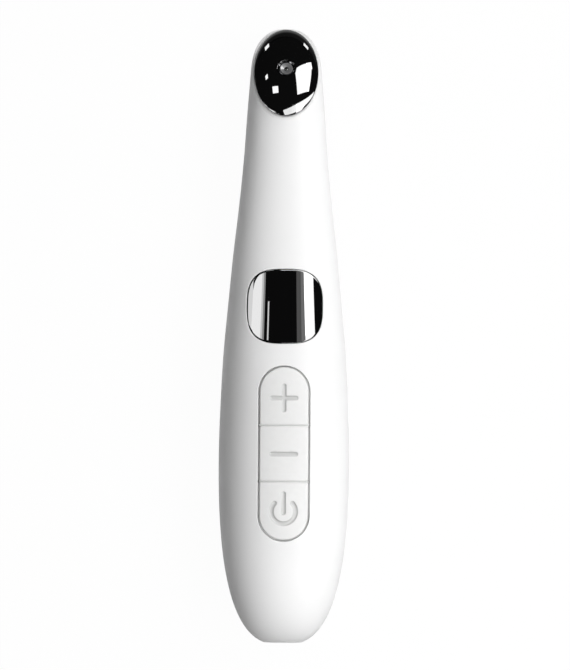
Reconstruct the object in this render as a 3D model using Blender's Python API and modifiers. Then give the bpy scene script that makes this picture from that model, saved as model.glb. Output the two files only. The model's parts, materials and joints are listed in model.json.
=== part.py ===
"""Hand-held high frequency facial massager, lying on its back.

Units are metres. +Z leaves the front with its keys and window, +Y runs from the charging end
to the treatment head, +X is to the right. The origin is under the middle of the body, at the
height of the flat on its back. A "place" below is a distance along the body from its charging
end, a "height" is a distance above the flat, and an "inset" is a depth below the outer skin.
"""
import math

import bmesh
import bpy
from mathutils import Matrix, Vector

# Body shells
LENGTH = 0.155
WIDTH = 0.0329
DEPTH = 0.025
WALL = 0.0018
SEAM_DROP = 0.0008
SEAM_GAP = 0.0003
GAP = 0.0003
SLIP = 0.00015
OVERRUN = 0.003
MERGE_DISTANCE = 0.000001
SMOOTH_ANGLE = math.radians(40.0)
ROD_SIDES = 16
THIN_SIDES = 12
POST_SIDES = 20
RING_SIDES = 24

SECTION_POWER = 2.2
SECTION_POINTS = 32
BASE_POWER = 2.7
BASE_CENTRE_SHARE = 0.31
BASE_END_SHARE = 0.292
BASE_STEPS = 7
NOSE_POWER = 2.4
NOSE_CENTRE_SHARE = 0.929
NOSE_END_SHARE = 0.11
NOSE_STEPS = 7
MIDDLE_STEPS = 13

# Each row: place along the body as a share of LENGTH, half width as a share of half WIDTH,
# then rise of the front over the spine, height of the spine and drop of the back below the
# spine, as shares of DEPTH.
BODY_SHARES = (
    (0.0, 1.0, 0.492, 0.53, 0.488),
    (0.155, 1.0, 0.516, 0.492, 0.53),
    (0.31, 1.0, 0.52, 0.48, 0.545),
    (0.395, 0.976, 0.51, 0.48, 0.545),
    (0.473, 0.936, 0.484, 0.48, 0.535),
    (0.552, 0.869, 0.44, 0.484, 0.512),
    (0.63, 0.799, 0.392, 0.492, 0.46),
    (0.708, 0.715, 0.352, 0.504, 0.396),
    (0.786, 0.644, 0.324, 0.52, 0.348),
    (0.865, 0.592, 0.312, 0.528, 0.308),
    (0.935, 0.541, 0.312, 0.5, 0.28),
    (1.0, 0.505, 0.304, 0.396, 0.256),
)

# Treatment head, an oval dome on a seat that leans towards the tip
SEAT_TILT = math.radians(25.0)
SEAT_PLACE_SHARE = 0.9254
SEAT_HEIGHT_SHARE = 0.6343
SEAT_RIM = 0.00033
TIP_RIM = 0.0002
CAP_RISE = 0.0026
CAP_EDGE = 0.0005
CAP_WALL = 0.0012
CAP_POWER = 2.2
CAP_RIM_POWER = 1.4
CAP_STEPS = 7
OVAL_STEPS = 32
OPENING_MARGIN = 0.0008
SEAL_RADIUS = 0.0004
SEAL_SIDES = 6
SPIGOT_WALL = 0.0012
SPIGOT_DEPTH = 0.002
LENS_RADIUS = 0.0016
RING_WALL = 0.0003
RING_HEIGHT = 0.0012
LENS_CROWN = 0.00035
PLATE_THICKNESS = 0.0005
PLATE_LIGHT_MARGIN = 0.0008
HEAD_BOARD_THICKNESS = 0.001
HEAD_BOARD_DROP = 0.0006
LED_WIDTH = 0.0016
SENSOR_LENGTH = 0.0016
SENSOR_WIDTH = 0.0008
SENSOR_PLACE_SHARE = 0.55
CARRIER_THICKNESS = 0.0016
CARRIER_BAND = 0.0026

# Display
WINDOW_WIDTH = 0.0189
WINDOW_LENGTH = 0.0186
WINDOW_THICKNESS = 0.0016
WINDOW_POWER = 3.0
WINDOW_POINTS = 40
WINDOW_PLACE_SHARE = 0.547
WINDOW_GAP = 0.0002
GASKET_THICKNESS = 0.0006
GASKET_BAND = 0.0012
HOLDER_WALL = 0.0012
PANEL_THICKNESS = 0.0014

# Keys
PILL_WIDTH = 0.01305
PILL_LENGTH_SHARE = 0.2852
PILL_PLACE_SHARE = 0.3085
MIDDLE_KEY_SHARE = 0.32
KEY_PROUD = 0.00025
KEY_CORNER = 0.0004
KEY_FLANGE = 0.0008
KEY_FLANGE_REACH = 0.0008
KEY_TRAVEL = 0.0004
KEY_SPLIT = 0.00035
STEM_RADIUS = 0.0017
STEM_LENGTH = 0.0011
ARC_STEPS = 5

# Switches under the keys
PLUNGER_RADIUS = 0.0015
PLUNGER_LENGTH = 0.002
PLUNGER_SHOWN = 0.0012
SWITCH_WIDTH = 0.006
GUIDE_THICKNESS = 0.0012
GUIDE_RAIL = 0.0022
GUIDE_LEG = 0.0012

# Main board and what is soldered to it
BOARD_THICKNESS = 0.0012
BOARD_CLEARANCE = 0.0006
BOARD_START = 0.0065
BOARD_TAPER = 0.0075
BOARD_END_SHARE = 0.605
POST_RADIUS = 0.0021
POST_INSET = 0.0024
POST_END_MARGIN = 0.004
POST_SPACING = 0.001
SCREW_RADIUS = 0.0007
SCREW_HEAD_RADIUS = 0.0014
SCREW_HEAD_HEIGHT = 0.0009
SCREW_LENGTH = 0.006
SCREW_PLAY = 0.0002
CHIP_WIDTH = 0.005
CHIP_HEIGHT = 0.001
INDUCTOR_RADIUS = 0.0024
INDUCTOR_HEIGHT = 0.0026
CONNECTOR_LENGTH = 0.005
CONNECTOR_WIDTH = 0.0045
CONNECTOR_HEIGHT = 0.0026
PART_MARGIN = 0.0025

# Charging socket
SOCKET_WIDTH = 0.0076
SOCKET_HEIGHT = 0.0029
SOCKET_DEPTH = 0.0056
SOCKET_WALL = 0.0003
SOCKET_RECESS = 0.0004
SOCKET_CORNER = 0.0008
MOUTH_MARGIN = 0.0003
TONGUE_WIDTH = 0.0038
TONGUE_HEIGHT = 0.0007
TONGUE_RECESS = 0.0008

# Battery
BATTERY_WIDTH = 0.020
BATTERY_LENGTH = 0.040
BATTERY_HEIGHT = 0.0075
BATTERY_PLACE_SHARE = 0.33
BATTERY_CORNER = 0.0016
PAD_THICKNESS = 0.0018
PAD_MARGIN = 0.0035
PAD_SIDE = 0.001
LEAD_RADIUS = 0.0004
LEAD_SPREAD = 0.0012

# Vibration motor in the neck
MOTOR_RADIUS = 0.0035
MOTOR_LENGTH = 0.014
MOTOR_PLACE_SHARE = 0.672
MOTOR_BOSS_RADIUS = 0.0012
MOTOR_BOSS_LENGTH = 0.0006
SHAFT_RADIUS = 0.0005
SHAFT_SHOWN = 0.007
SHAFT_PLAY = 0.00008
WEIGHT_RADIUS = 0.0031
WEIGHT_LENGTH = 0.0045
WEIGHT_HUB = 0.0011
SLEEVE_WALL = 0.001
SLEEVE_LENGTH = 0.010

# Ribs, clips and flat cables
RIB_THICKNESS = 0.0012
BATTERY_RIB_HEIGHT = 0.0045
CLIP_LENGTH = 0.006
CLIP_THICKNESS = 0.001
CLIP_RISE = 0.002
CLIP_DROP = 0.0025
CLIP_PLACE_SHARES = (0.2, 0.5, 0.655)
HEAD_POST_SIDE_SHARE = 0.65
HEAD_POST_RADIUS = 0.0011
RIBBON_WIDTH = 0.004
RIBBON_THICKNESS = 0.00025
NOTCH_DEPTH = 0.001
ROUTE_STEPS = 5

# Sizes worked out from the ones above
HALF_WIDTH = WIDTH / 2
BASE_CENTRE = BASE_CENTRE_SHARE * LENGTH
NOSE_CENTRE = NOSE_CENTRE_SHARE * LENGTH
BASE_REACH = BASE_CENTRE / (1 - BASE_END_SHARE ** BASE_POWER) ** (1 / BASE_POWER)
NOSE_REACH = (LENGTH - NOSE_CENTRE) / (1 - NOSE_END_SHARE ** NOSE_POWER) ** (1 / NOSE_POWER)


def share_at(place, column):
    """Value of one column of BODY_SHARES at a place, on a smooth curve through its rows."""
    where = min(max(place / LENGTH, 0.0), 1.0)
    last = len(BODY_SHARES) - 1
    row = max(index for index in range(last) if BODY_SHARES[index][0] <= where)

    def slope(index):
        before = BODY_SHARES[max(index - 1, 0)]
        after = BODY_SHARES[min(index + 1, last)]
        return (after[column] - before[column]) / (after[0] - before[0])

    start, end = BODY_SHARES[row], BODY_SHARES[row + 1]
    span = end[0] - start[0]
    t = (where - start[0]) / span
    return ((2 * t ** 3 - 3 * t ** 2 + 1) * start[column] + (t ** 3 - 2 * t ** 2 + t) * span * slope(row)
            + (3 * t ** 2 - 2 * t ** 3) * end[column] + (t ** 3 - t ** 2) * span * slope(row + 1))


def round_off(share, power):
    """Height of a superellipse of unit size at a share of its reach."""
    return (1 - min(max(share, 0.0), 1.0) ** power) ** (1 / power)


def end_share(place):
    """How much of its full section the body keeps as it turns in at its two ends."""
    base = round_off((BASE_CENTRE - place) / BASE_REACH, BASE_POWER)
    nose = round_off((place - NOSE_CENTRE) / NOSE_REACH, NOSE_POWER)
    return base * nose


def spine(place):
    """Height of the body's widest line."""
    return share_at(place, 3) * DEPTH


def section(place, inset):
    """Half width, front rise and back drop of the body, an inset below its skin."""
    kept = end_share(place)
    half = share_at(place, 1) * HALF_WIDTH * kept - inset
    rise = share_at(place, 2) * DEPTH * kept - inset
    drop = share_at(place, 4) * DEPTH * kept - inset
    return half, rise, drop


def room(place, height, inset):
    """Half width of the body at a place and a height, an inset below its skin."""
    half, rise, drop = section(place, inset)
    offset = height - spine(place)
    reach = rise if offset > 0 else drop
    return half * round_off(abs(offset) / reach, SECTION_POWER)


def front_height(place, across, inset):
    """Height of the front at a distance from the middle, an inset below its skin."""
    half, rise, drop = section(place, inset)
    return spine(place) + rise * round_off(abs(across) / half, SECTION_POWER)


def along(place):
    """World Y of a place along the body."""
    return place - LENGTH / 2


def seam_height(place):
    """Height of the parting line between the two shells."""
    return spine(place) - SEAM_DROP


SEAT_PLACE = SEAT_PLACE_SHARE * LENGTH
SEAT_HEIGHT = SEAT_HEIGHT_SHARE * DEPTH
CAP_HALF_WIDTH = room(SEAT_PLACE, SEAT_HEIGHT, 0.0) - SEAT_RIM
CAP_LEAN = (GAP + CAP_EDGE) * math.sin(SEAT_TILT)
CAP_HALF_LENGTH = (LENGTH - TIP_RIM - SEAT_PLACE - CAP_LEAN) / math.cos(SEAT_TILT)
OVAL_SHARE = CAP_HALF_WIDTH / CAP_HALF_LENGTH
OPENING_RADIUS = CAP_HALF_LENGTH - OPENING_MARGIN
SEAL_RING_RADIUS = OPENING_RADIUS - SLIP / OVAL_SHARE - SEAL_RADIUS
SPIGOT_RADIUS = SEAL_RING_RADIUS - SEAL_RADIUS - SLIP / OVAL_SHARE
SPIGOT_INSIDE = SPIGOT_RADIUS - SPIGOT_WALL
CAP_TOP = GAP + CAP_EDGE + CAP_RISE

PILL_PLACE = PILL_PLACE_SHARE * LENGTH
PILL_LENGTH = PILL_LENGTH_SHARE * LENGTH
WINDOW_PLACE = WINDOW_PLACE_SHARE * LENGTH
# How far along its own half sizes the window's outline crosses the diagonal
WINDOW_DIAGONAL_SHARE = 2 ** (-1 / WINDOW_POWER)
KEY_HALF_WIDTH = PILL_WIDTH / 2 - GAP
KEY_END = PILL_LENGTH / 2 - GAP
KEY_DIVIDER = MIDDLE_KEY_SHARE * PILL_LENGTH / 2
KEY_UNDER_INSET = WALL + GAP + KEY_FLANGE

SOCKET_CENTRE_HEIGHT = spine(0.0)
BOARD_BOTTOM = SOCKET_CENTRE_HEIGHT + SOCKET_HEIGHT / 2 + GAP
BOARD_TOP = BOARD_BOTTOM + BOARD_THICKNESS
BOARD_END = BOARD_END_SHARE * LENGTH
BOARD_WIDE_START = BOARD_START + BOARD_TAPER
BOARD_ROOM = min(room(place, BOARD_TOP, WALL) for place in (BOARD_WIDE_START, BOARD_END))
BOARD_HALF_WIDTH = BOARD_ROOM - BOARD_CLEARANCE
BOARD_NARROW_HALF = room(BOARD_START, BOARD_TOP, WALL) - BOARD_CLEARANCE
POST_SIDE = BOARD_HALF_WIDTH - POST_INSET

BATTERY_PLACE = BATTERY_PLACE_SHARE * LENGTH
BATTERY_END = BATTERY_PLACE + BATTERY_LENGTH / 2
BATTERY_START = BATTERY_PLACE - BATTERY_LENGTH / 2
NEAR_POST_PLACE = BATTERY_START - GAP - RIB_THICKNESS - POST_SPACING - POST_RADIUS
POST_PLACES = (NEAR_POST_PLACE, BOARD_END - POST_END_MARGIN)
BATTERY_BOTTOM = WALL + GAP + PAD_THICKNESS + GAP
BATTERY_TOP = BATTERY_BOTTOM + BATTERY_HEIGHT
BATTERY_HALF_WIDTH = min(BATTERY_WIDTH / 2, room(BATTERY_START, BATTERY_BOTTOM, WALL) - GAP)

MOTOR_START = MOTOR_PLACE_SHARE * LENGTH
MOTOR_MIDDLE = MOTOR_START + MOTOR_LENGTH / 2
MOTOR_HEIGHT = spine(MOTOR_MIDDLE) - SEAM_DROP
SLEEVE_RADIUS = MOTOR_RADIUS + SLIP + SLEEVE_WALL
CRADLE_RADIUS = SLEEVE_RADIUS + SLIP
CRADLE_PLACES = (MOTOR_MIDDLE - SLEEVE_LENGTH / 3, MOTOR_MIDDLE + SLEEVE_LENGTH / 3)

# Rotation that lays an outline drawn as (along, height) into the body's middle plane
SIDE_PLANE = Matrix(((0, 0, 1), (1, 0, 0), (0, 1, 0))).to_4x4()


def clear_scene():
    """Start from an empty scene."""
    for thing in list(bpy.data.objects):
        bpy.data.objects.remove(thing)


def new_collection(name):
    collection = bpy.data.collections.new(name)
    bpy.context.scene.collection.children.link(collection)
    return collection


def new_material(name, colour, roughness, metallic=0.0):
    """One plain finish."""
    material = bpy.data.materials.new(name)
    material.use_nodes = True
    surface = material.node_tree.nodes["Principled BSDF"]
    surface.inputs["Base Color"].default_value = (*colour, 1.0)
    surface.inputs["Roughness"].default_value = roughness
    surface.inputs["Metallic"].default_value = metallic
    material.diffuse_color = (*colour, 1.0)
    return material


def add(name, mesh, finish, location=(0.0, 0.0, 0.0), parent=None):
    """Put a mesh in the scene: a part when it has a finish, a cutter when it has none."""
    thing = bpy.data.objects.new(name, mesh)
    thing.location = location
    if finish is None:
        cutters.objects.link(thing)
        thing.hide_render = True
        thing.display_type = "WIRE"
    else:
        parts.objects.link(thing)
        mesh.materials.append(new_material(name, *finish))
    if parent is not None:
        thing.parent = parent
    return thing


def mesh_from(name, bm):
    """Close a bmesh into a mesh with its faces pointing out."""
    bmesh.ops.recalc_face_normals(bm, faces=bm.faces)
    mesh = bpy.data.meshes.new(name)
    bm.to_mesh(mesh)
    bm.free()
    return mesh


def boolean(thing, other, operation):
    """Leave a live Boolean on a piece."""
    step = thing.modifiers.new(other.name, "BOOLEAN")
    step.operation = operation
    step.solver = "EXACT"
    step.object = other


def cut(thing, *others):
    for other in others:
        boolean(thing, other, "DIFFERENCE")


def join(thing, *others):
    for other in others:
        boolean(thing, other, "UNION")


def keep_inside(thing, other):
    boolean(thing, other, "INTERSECT")


def section_points(place, inset):
    """One closed section of the body, flat where it would sink under the resting plane."""
    half, rise, drop = section(place, inset)
    lowest = max(inset, 0.0)
    points = []
    for step in range(SECTION_POINTS):
        turn = 2 * math.pi * step / SECTION_POINTS
        across, up = math.cos(turn), math.sin(turn)
        reach = rise if up > 0 else drop
        x = half * math.copysign(abs(across) ** (2 / SECTION_POWER), across)
        z = spine(place) + reach * math.copysign(abs(up) ** (2 / SECTION_POWER), up)
        points.append(Vector((x, along(place), max(z, lowest))))
    return points


def section_places():
    """Places of the body's sections, closer together where its ends turn in."""
    base_turn = math.acos(BASE_END_SHARE ** (BASE_POWER / 2))
    nose_turn = math.acos(NOSE_END_SHARE ** (NOSE_POWER / 2))
    places = []
    for step in range(BASE_STEPS):
        turn = base_turn * (1 - step / BASE_STEPS)
        places.append(BASE_CENTRE - BASE_REACH * math.sin(turn) ** (2 / BASE_POWER))
    for step in range(MIDDLE_STEPS):
        places.append(BASE_CENTRE + (NOSE_CENTRE - BASE_CENTRE) * step / MIDDLE_STEPS)
    for step in range(NOSE_STEPS + 1):
        turn = nose_turn * step / NOSE_STEPS
        places.append(NOSE_CENTRE + NOSE_REACH * math.sin(turn) ** (2 / NOSE_POWER))
    return places


def body_mesh(name, inset):
    """The whole body as one closed loft, an inset below its skin."""
    bm = bmesh.new()
    rings = []
    for place in section_places():
        inner_place = inset + place * (LENGTH - 2 * inset) / LENGTH
        rings.append([bm.verts.new(point) for point in section_points(inner_place, inset)])
    for first, second in zip(rings, rings[1:]):
        for corner in range(SECTION_POINTS):
            following = (corner + 1) % SECTION_POINTS
            bm.faces.new((first[corner], first[following], second[following], second[corner]))
    bm.faces.new(rings[0])
    bm.faces.new(rings[-1])
    bmesh.ops.triangulate(bm, faces=bm.faces)
    return mesh_from(name, bm)


def body_cutter(name, inset):
    return add(name, body_mesh(name, inset), None)


def box_mesh(name, size, centre=(0.0, 0.0, 0.0)):
    bm = bmesh.new()
    bmesh.ops.create_cube(bm, size=1.0)
    bmesh.ops.scale(bm, vec=size, verts=bm.verts)
    bmesh.ops.translate(bm, vec=centre, verts=bm.verts)
    return mesh_from(name, bm)


def rod_mesh(name, radius, length, axis="Z", segments=ROD_SIDES, top_radius=None):
    """A round rod about its own origin, along one axis."""
    bm = bmesh.new()
    end_radius = radius if top_radius is None else top_radius
    bmesh.ops.create_cone(bm, cap_ends=True, segments=segments, radius1=radius,
                          radius2=end_radius, depth=length)
    if axis == "Y":
        turn = Matrix.Rotation(-math.pi / 2, 3, "X")
        bmesh.ops.rotate(bm, cent=(0.0, 0.0, 0.0), matrix=turn, verts=bm.verts)
    mesh = mesh_from(name, bm)
    mesh.shade_smooth()
    mesh.set_sharp_from_angle(angle=SMOOTH_ANGLE)
    return mesh


def slab_mesh(name, outline, bottom, top):
    """A flat outline made into a solid between two heights of its own plane."""
    curve = bpy.data.curves.new(name, "CURVE")
    curve.dimensions = "2D"
    curve.fill_mode = "BOTH"
    curve.extrude = (top - bottom) / 2
    spline = curve.splines.new("POLY")
    spline.points.add(len(outline) - 1)
    for point, (across, forward) in zip(spline.points, outline):
        point.co = (across, forward, 0.0, 1.0)
    spline.use_cyclic_u = True
    guide = bpy.data.objects.new(name, curve)
    bpy.context.scene.collection.objects.link(guide)
    evaluated = guide.evaluated_get(bpy.context.evaluated_depsgraph_get())
    flat = bpy.data.meshes.new_from_object(evaluated)
    bpy.data.objects.remove(guide)
    bm = bmesh.new()
    bm.from_mesh(flat)
    bmesh.ops.remove_doubles(bm, verts=bm.verts, dist=MERGE_DISTANCE)
    bmesh.ops.translate(bm, vec=(0.0, 0.0, (top + bottom) / 2), verts=bm.verts)
    return mesh_from(name, bm)


def turned(name, profile, steps, finish, parent=None):
    """A closed profile of (radius, height) points turned about its own Z axis."""
    mesh = bpy.data.meshes.new(name)
    count = len(profile)
    edges = [(index, (index + 1) % count) for index in range(count)]
    mesh.from_pydata([(radius, 0.0, height) for radius, height in profile], edges, [])
    thing = add(name, mesh, finish, parent=parent)
    screw = thing.modifiers.new("turn", "SCREW")
    screw.axis = "Z"
    screw.angle = 2 * math.pi
    screw.steps = steps
    screw.render_steps = steps
    screw.use_merge_vertices = True
    screw.merge_threshold = MERGE_DISTANCE
    screw.use_smooth_shade = True
    return thing


def rounded_outline(left, right, near, far, near_radius, far_radius):
    """A rectangle whose near and far corners are rounded."""
    corners = ((right - far_radius, far - far_radius, far_radius, 0),
               (left + far_radius, far - far_radius, far_radius, 1),
               (left + near_radius, near + near_radius, near_radius, 2),
               (right - near_radius, near + near_radius, near_radius, 3))
    outline = []
    for x, y, radius, quarter in corners:
        for step in range(ARC_STEPS + 1):
            turn = (quarter + step / ARC_STEPS) * math.pi / 2
            outline.append((x + radius * math.cos(turn), y + radius * math.sin(turn)))
    return outline


def window_outline(width, length):
    """The window's squared oval."""
    outline = []
    for step in range(WINDOW_POINTS):
        turn = 2 * math.pi * step / WINDOW_POINTS
        across, forward = math.cos(turn), math.sin(turn)
        outline.append((width / 2 * math.copysign(abs(across) ** (2 / WINDOW_POWER), across),
                        length / 2 * math.copysign(abs(forward) ** (2 / WINDOW_POWER), forward)))
    return outline


def smooth_route(points):
    """A finer line through a route's own points."""
    route = []
    last = len(points) - 1
    for index in range(last):
        before, start = Vector(points[max(index - 1, 0)]), Vector(points[index])
        end, after = Vector(points[index + 1]), Vector(points[min(index + 2, last)])
        for step in range(ROUTE_STEPS):
            t = step / ROUTE_STEPS
            lean = t * (end - before)
            bend = t ** 2 * (2 * before - 5 * start + 4 * end - after)
            twist = t ** 3 * (3 * start - before - 3 * end + after)
            route.append(start + (lean + bend + twist) / 2)
    route.append(Vector(points[-1]))
    return route


def wire(name, points, radius, finish):
    """An insulated lead along a route, with filled ends."""
    curve = bpy.data.curves.new(name, "CURVE")
    curve.dimensions = "3D"
    curve.bevel_depth = radius
    curve.bevel_resolution = 1
    curve.use_fill_caps = True
    route = smooth_route(points)
    spline = curve.splines.new("POLY")
    spline.points.add(len(route) - 1)
    for point, place in zip(spline.points, route):
        point.co = (*place, 1.0)
    curve.materials.append(new_material(name, *finish))
    thing = bpy.data.objects.new(name, curve)
    parts.objects.link(thing)
    return thing


def ribbon(name, points, width, finish):
    """A flat cable: a strip along a route of (place, height) points, given thickness."""
    route = smooth_route([(0.0, along(place), height) for place, height in points])
    bm = bmesh.new()
    rows = []
    for point in route:
        rows.append([bm.verts.new(point + Vector((side * width / 2, 0.0, 0.0))) for side in (-1, 1)])
    for first, second in zip(rows, rows[1:]):
        bm.faces.new((first[0], first[1], second[1], second[0]))
    thing = add(name, mesh_from(name, bm), finish)
    thick = thing.modifiers.new("thickness", "SOLIDIFY")
    thick.thickness = RIBBON_THICKNESS
    thick.offset = 0.0
    return thing


# Cutters that several pieces share

def seam_cutter(name, shift):
    """Everything in front of the parting line, moved along Z by a shift."""
    steps = BASE_STEPS + MIDDLE_STEPS
    outline = [(along(LENGTH) + OVERRUN, DEPTH + OVERRUN), (along(0.0) - OVERRUN, DEPTH + OVERRUN)]
    outline.append((along(0.0) - OVERRUN, seam_height(0.0) + shift))
    for step in range(steps + 1):
        place = LENGTH * step / steps
        outline.append((along(place), seam_height(place) + shift))
    outline.append((along(LENGTH) + OVERRUN, seam_height(LENGTH) + shift))
    mesh = slab_mesh(name, outline, -HALF_WIDTH - OVERRUN, HALF_WIDTH + OVERRUN)
    mesh.transform(SIDE_PLANE)
    return add(name, mesh, None)


def upright_cutter(name, outline, place, bottom, top):
    """An outline at a place on the front, cut straight down between two heights."""
    return add(name, slab_mesh(name, outline, bottom, top), None, (0.0, along(place), 0.0))


def key_outlines(half_width, end, split, corner):
    """Outlines of the three keys, from the head side to the charging side."""
    divider = KEY_DIVIDER
    far_key = rounded_outline(-half_width, half_width, divider + split, end, corner, half_width)
    middle_key = rounded_outline(-half_width, half_width, -divider + split, divider - split, corner, corner)
    near_key = rounded_outline(-half_width, half_width, -end, -divider - split, half_width, corner)
    return far_key, middle_key, near_key


def moved(outline, forward):
    return [(x, y - forward) for x, y in outline]


def make_head_frame():
    """The leaning frame of the treatment head: Z leaves the dome, Y runs up to the tip."""
    frame = bpy.data.objects.new("head_frame", None)
    parts.objects.link(frame)
    frame.location = (0.0, along(SEAT_PLACE), SEAT_HEIGHT)
    frame.rotation_euler = (-SEAT_TILT, 0.0, 0.0)
    return frame


def head_point(across, up_seat, out):
    """World point of a place in the treatment head's frame."""
    return Vector((across,
                   along(SEAT_PLACE) + up_seat * math.cos(SEAT_TILT) + out * math.sin(SEAT_TILT),
                   SEAT_HEIGHT - up_seat * math.sin(SEAT_TILT) + out * math.cos(SEAT_TILT)))


def make_housings():
    """The two shells of the body, with their openings, ribs, posts and clips."""
    inside = body_cutter("body_inside", WALL)
    mid_wall = body_cutter("body_mid_wall", WALL / 2)
    front_half = seam_cutter("front_half", SEAM_GAP / 2)
    not_rear = seam_cutter("not_rear", -SEAM_GAP / 2)

    port_outline = rounded_outline(-SOCKET_WIDTH / 2 - MOUTH_MARGIN, SOCKET_WIDTH / 2 + MOUTH_MARGIN,
                                   -SOCKET_HEIGHT / 2 - MOUTH_MARGIN, SOCKET_HEIGHT / 2 + MOUTH_MARGIN,
                                   SOCKET_CORNER, SOCKET_CORNER)
    port = add("port_hole", slab_mesh("port_hole", port_outline, -SOCKET_DEPTH, SOCKET_DEPTH), None,
               (0.0, along(0.0), SOCKET_CENTRE_HEIGHT))
    port.rotation_euler = (math.pi / 2, 0.0, 0.0)

    front = add("front_housing", body_mesh("front_housing", 0.0), FINISH_WHITE)
    cut(front, inside)
    keep_inside(front, front_half)
    seat_size = 2 * HALF_WIDTH
    seat_box = box_mesh("above_seat", (seat_size, 2 * CAP_HALF_LENGTH + seat_size, seat_size),
                        (0.0, 0.0, seat_size / 2))
    above_seat = add("above_seat", seat_box, None, parent=head_frame)
    head_hole = add("head_hole", rod_mesh("head_hole", OPENING_RADIUS, 4 * SPIGOT_DEPTH, segments=OVAL_STEPS),
                    None, parent=head_frame)
    head_hole.scale.x = OVAL_SHARE
    hole_top = DEPTH + OVERRUN
    window_hole = upright_cutter("window_hole", window_outline(WINDOW_WIDTH + 2 * WINDOW_GAP,
                                                               WINDOW_LENGTH + 2 * WINDOW_GAP),
                                 WINDOW_PLACE, BOARD_TOP, hole_top)
    pill_outline = rounded_outline(-PILL_WIDTH / 2, PILL_WIDTH / 2, -PILL_LENGTH / 2, PILL_LENGTH / 2,
                                   PILL_WIDTH / 2, PILL_WIDTH / 2)
    pill_hole = upright_cutter("pill_hole", pill_outline, PILL_PLACE, BOARD_TOP, hole_top)
    cut(front, above_seat, head_hole, window_hole, pill_hole, port)
    for rib in motor_ribs(True):
        keep_inside(rib, mid_wall)
        join(front, rib)

    rear = add("rear_housing", body_mesh("rear_housing", 0.0), FINISH_WHITE)
    cut(rear, inside, not_rear, port)
    posts = [board_post(side, place) for place in POST_PLACES for side in (-1, 1)]
    ribs = battery_ribs() + list(motor_ribs(False)) + head_posts()
    clips = [clip(side, share * LENGTH) for share in CLIP_PLACE_SHARES for side in (-1, 1)]
    for feature in posts + ribs + clips:
        keep_inside(feature, mid_wall)
        join(rear, feature)
    for side in (-1, 1):
        for place in POST_PLACES:
            bottom = BOARD_TOP - SCREW_LENGTH - GAP
            pilot = add("pilot_hole", rod_mesh("pilot_hole", SCREW_RADIUS + SCREW_PLAY, 2 * SCREW_LENGTH),
                        None,
                        (side * POST_SIDE, along(place), bottom + SCREW_LENGTH))
            cut(rear, pilot)


def board_post(side, place):
    """A post under one corner of the board."""
    top = BOARD_BOTTOM - GAP
    return add("board_post", rod_mesh("board_post", POST_RADIUS, top, segments=POST_SIDES), None,
               (side * POST_SIDE, along(place), top / 2))


def battery_ribs():
    """Two low ribs across the floor that keep the battery from sliding."""
    ribs = []
    for end in (-1, 1):
        place = BATTERY_PLACE + end * (BATTERY_LENGTH / 2 + GAP + RIB_THICKNESS / 2)
        size = (BATTERY_WIDTH, RIB_THICKNESS, 2 * (WALL + BATTERY_RIB_HEIGHT))
        ribs.append(add("battery_rib", box_mesh("battery_rib", size), None, (0.0, along(place), 0.0)))
    return ribs


def motor_ribs(front):
    """Ribs whose round saddles grip the motor's sleeve from behind or from the front."""
    saddle = add("motor_saddle", rod_mesh("motor_saddle", CRADLE_RADIUS, 2 * MOTOR_LENGTH, axis="Y"), None,
                 (0.0, along(MOTOR_MIDDLE), MOTOR_HEIGHT))
    split = SEAM_GAP / 2
    for place in CRADLE_PLACES:
        level = seam_height(place) + (split if front else -split)
        far = DEPTH if front else -OVERRUN
        size = (WIDTH, RIB_THICKNESS, abs(far - level))
        rib = add("motor_rib", box_mesh("motor_rib", size), None, (0.0, along(place), (far + level) / 2))
        cut(rib, saddle)
        if front:
            notch = add("ribbon_notch", box_mesh("ribbon_notch", (RIBBON_WIDTH + 2 * GAP, 2 * RIB_THICKNESS,
                                                                  2 * (CRADLE_RADIUS + NOTCH_DEPTH))), None,
                        (0.0, along(place), MOTOR_HEIGHT))
            cut(rib, notch)
        yield rib


def head_posts():
    """Two posts behind the head that hold its carrier up to the seat."""
    posts = []
    level = -SPIGOT_DEPTH - GAP - CARRIER_THICKNESS - GAP
    for side in (-1, 1):
        across = side * HEAD_POST_SIDE_SHARE * CAP_HALF_WIDTH
        seat = head_point(across, 0.0, level)
        height = seat.z - HEAD_POST_RADIUS * math.tan(SEAT_TILT)
        rod = rod_mesh("head_post", HEAD_POST_RADIUS, height, segments=THIN_SIDES)
        posts.append(add("head_post", rod, None, (across, seat.y, height / 2)))
    return posts


def clip(side, place):
    """A snap tongue that rises from the rear shell behind the wall of the front shell."""
    level = seam_height(place)
    wall = min(room(place + end * CLIP_LENGTH / 2, height, WALL)
               for end in (-1, 1) for height in (level, level + CLIP_RISE))
    outline = [(wall + WALL / 2, level - CLIP_DROP), (wall + WALL / 2, level - SEAM_GAP),
               (wall - GAP, level - SEAM_GAP), (wall - GAP, level + CLIP_RISE),
               (wall - GAP - CLIP_THICKNESS, level + CLIP_RISE),
               (wall - GAP - CLIP_THICKNESS, level - CLIP_DROP)]
    mesh = slab_mesh("clip", [(side * x, z) for x, z in outline], -CLIP_LENGTH / 2, CLIP_LENGTH / 2)
    tongue = add("clip", mesh, None, (0.0, along(place), 0.0))
    tongue.rotation_euler = (math.pi / 2, 0.0, 0.0)
    return tongue


def dome_points(radius, height, edge, steps):
    """Points of a dome's half profile, from its top down to its rim."""
    points = []
    for step in range(steps + 1):
        turn = math.pi / 2 * step / steps
        points.append((radius * math.sin(turn) ** (2 / CAP_POWER),
                       edge + (height - edge) * math.cos(turn) ** (2 / CAP_RIM_POWER)))
    return points


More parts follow.
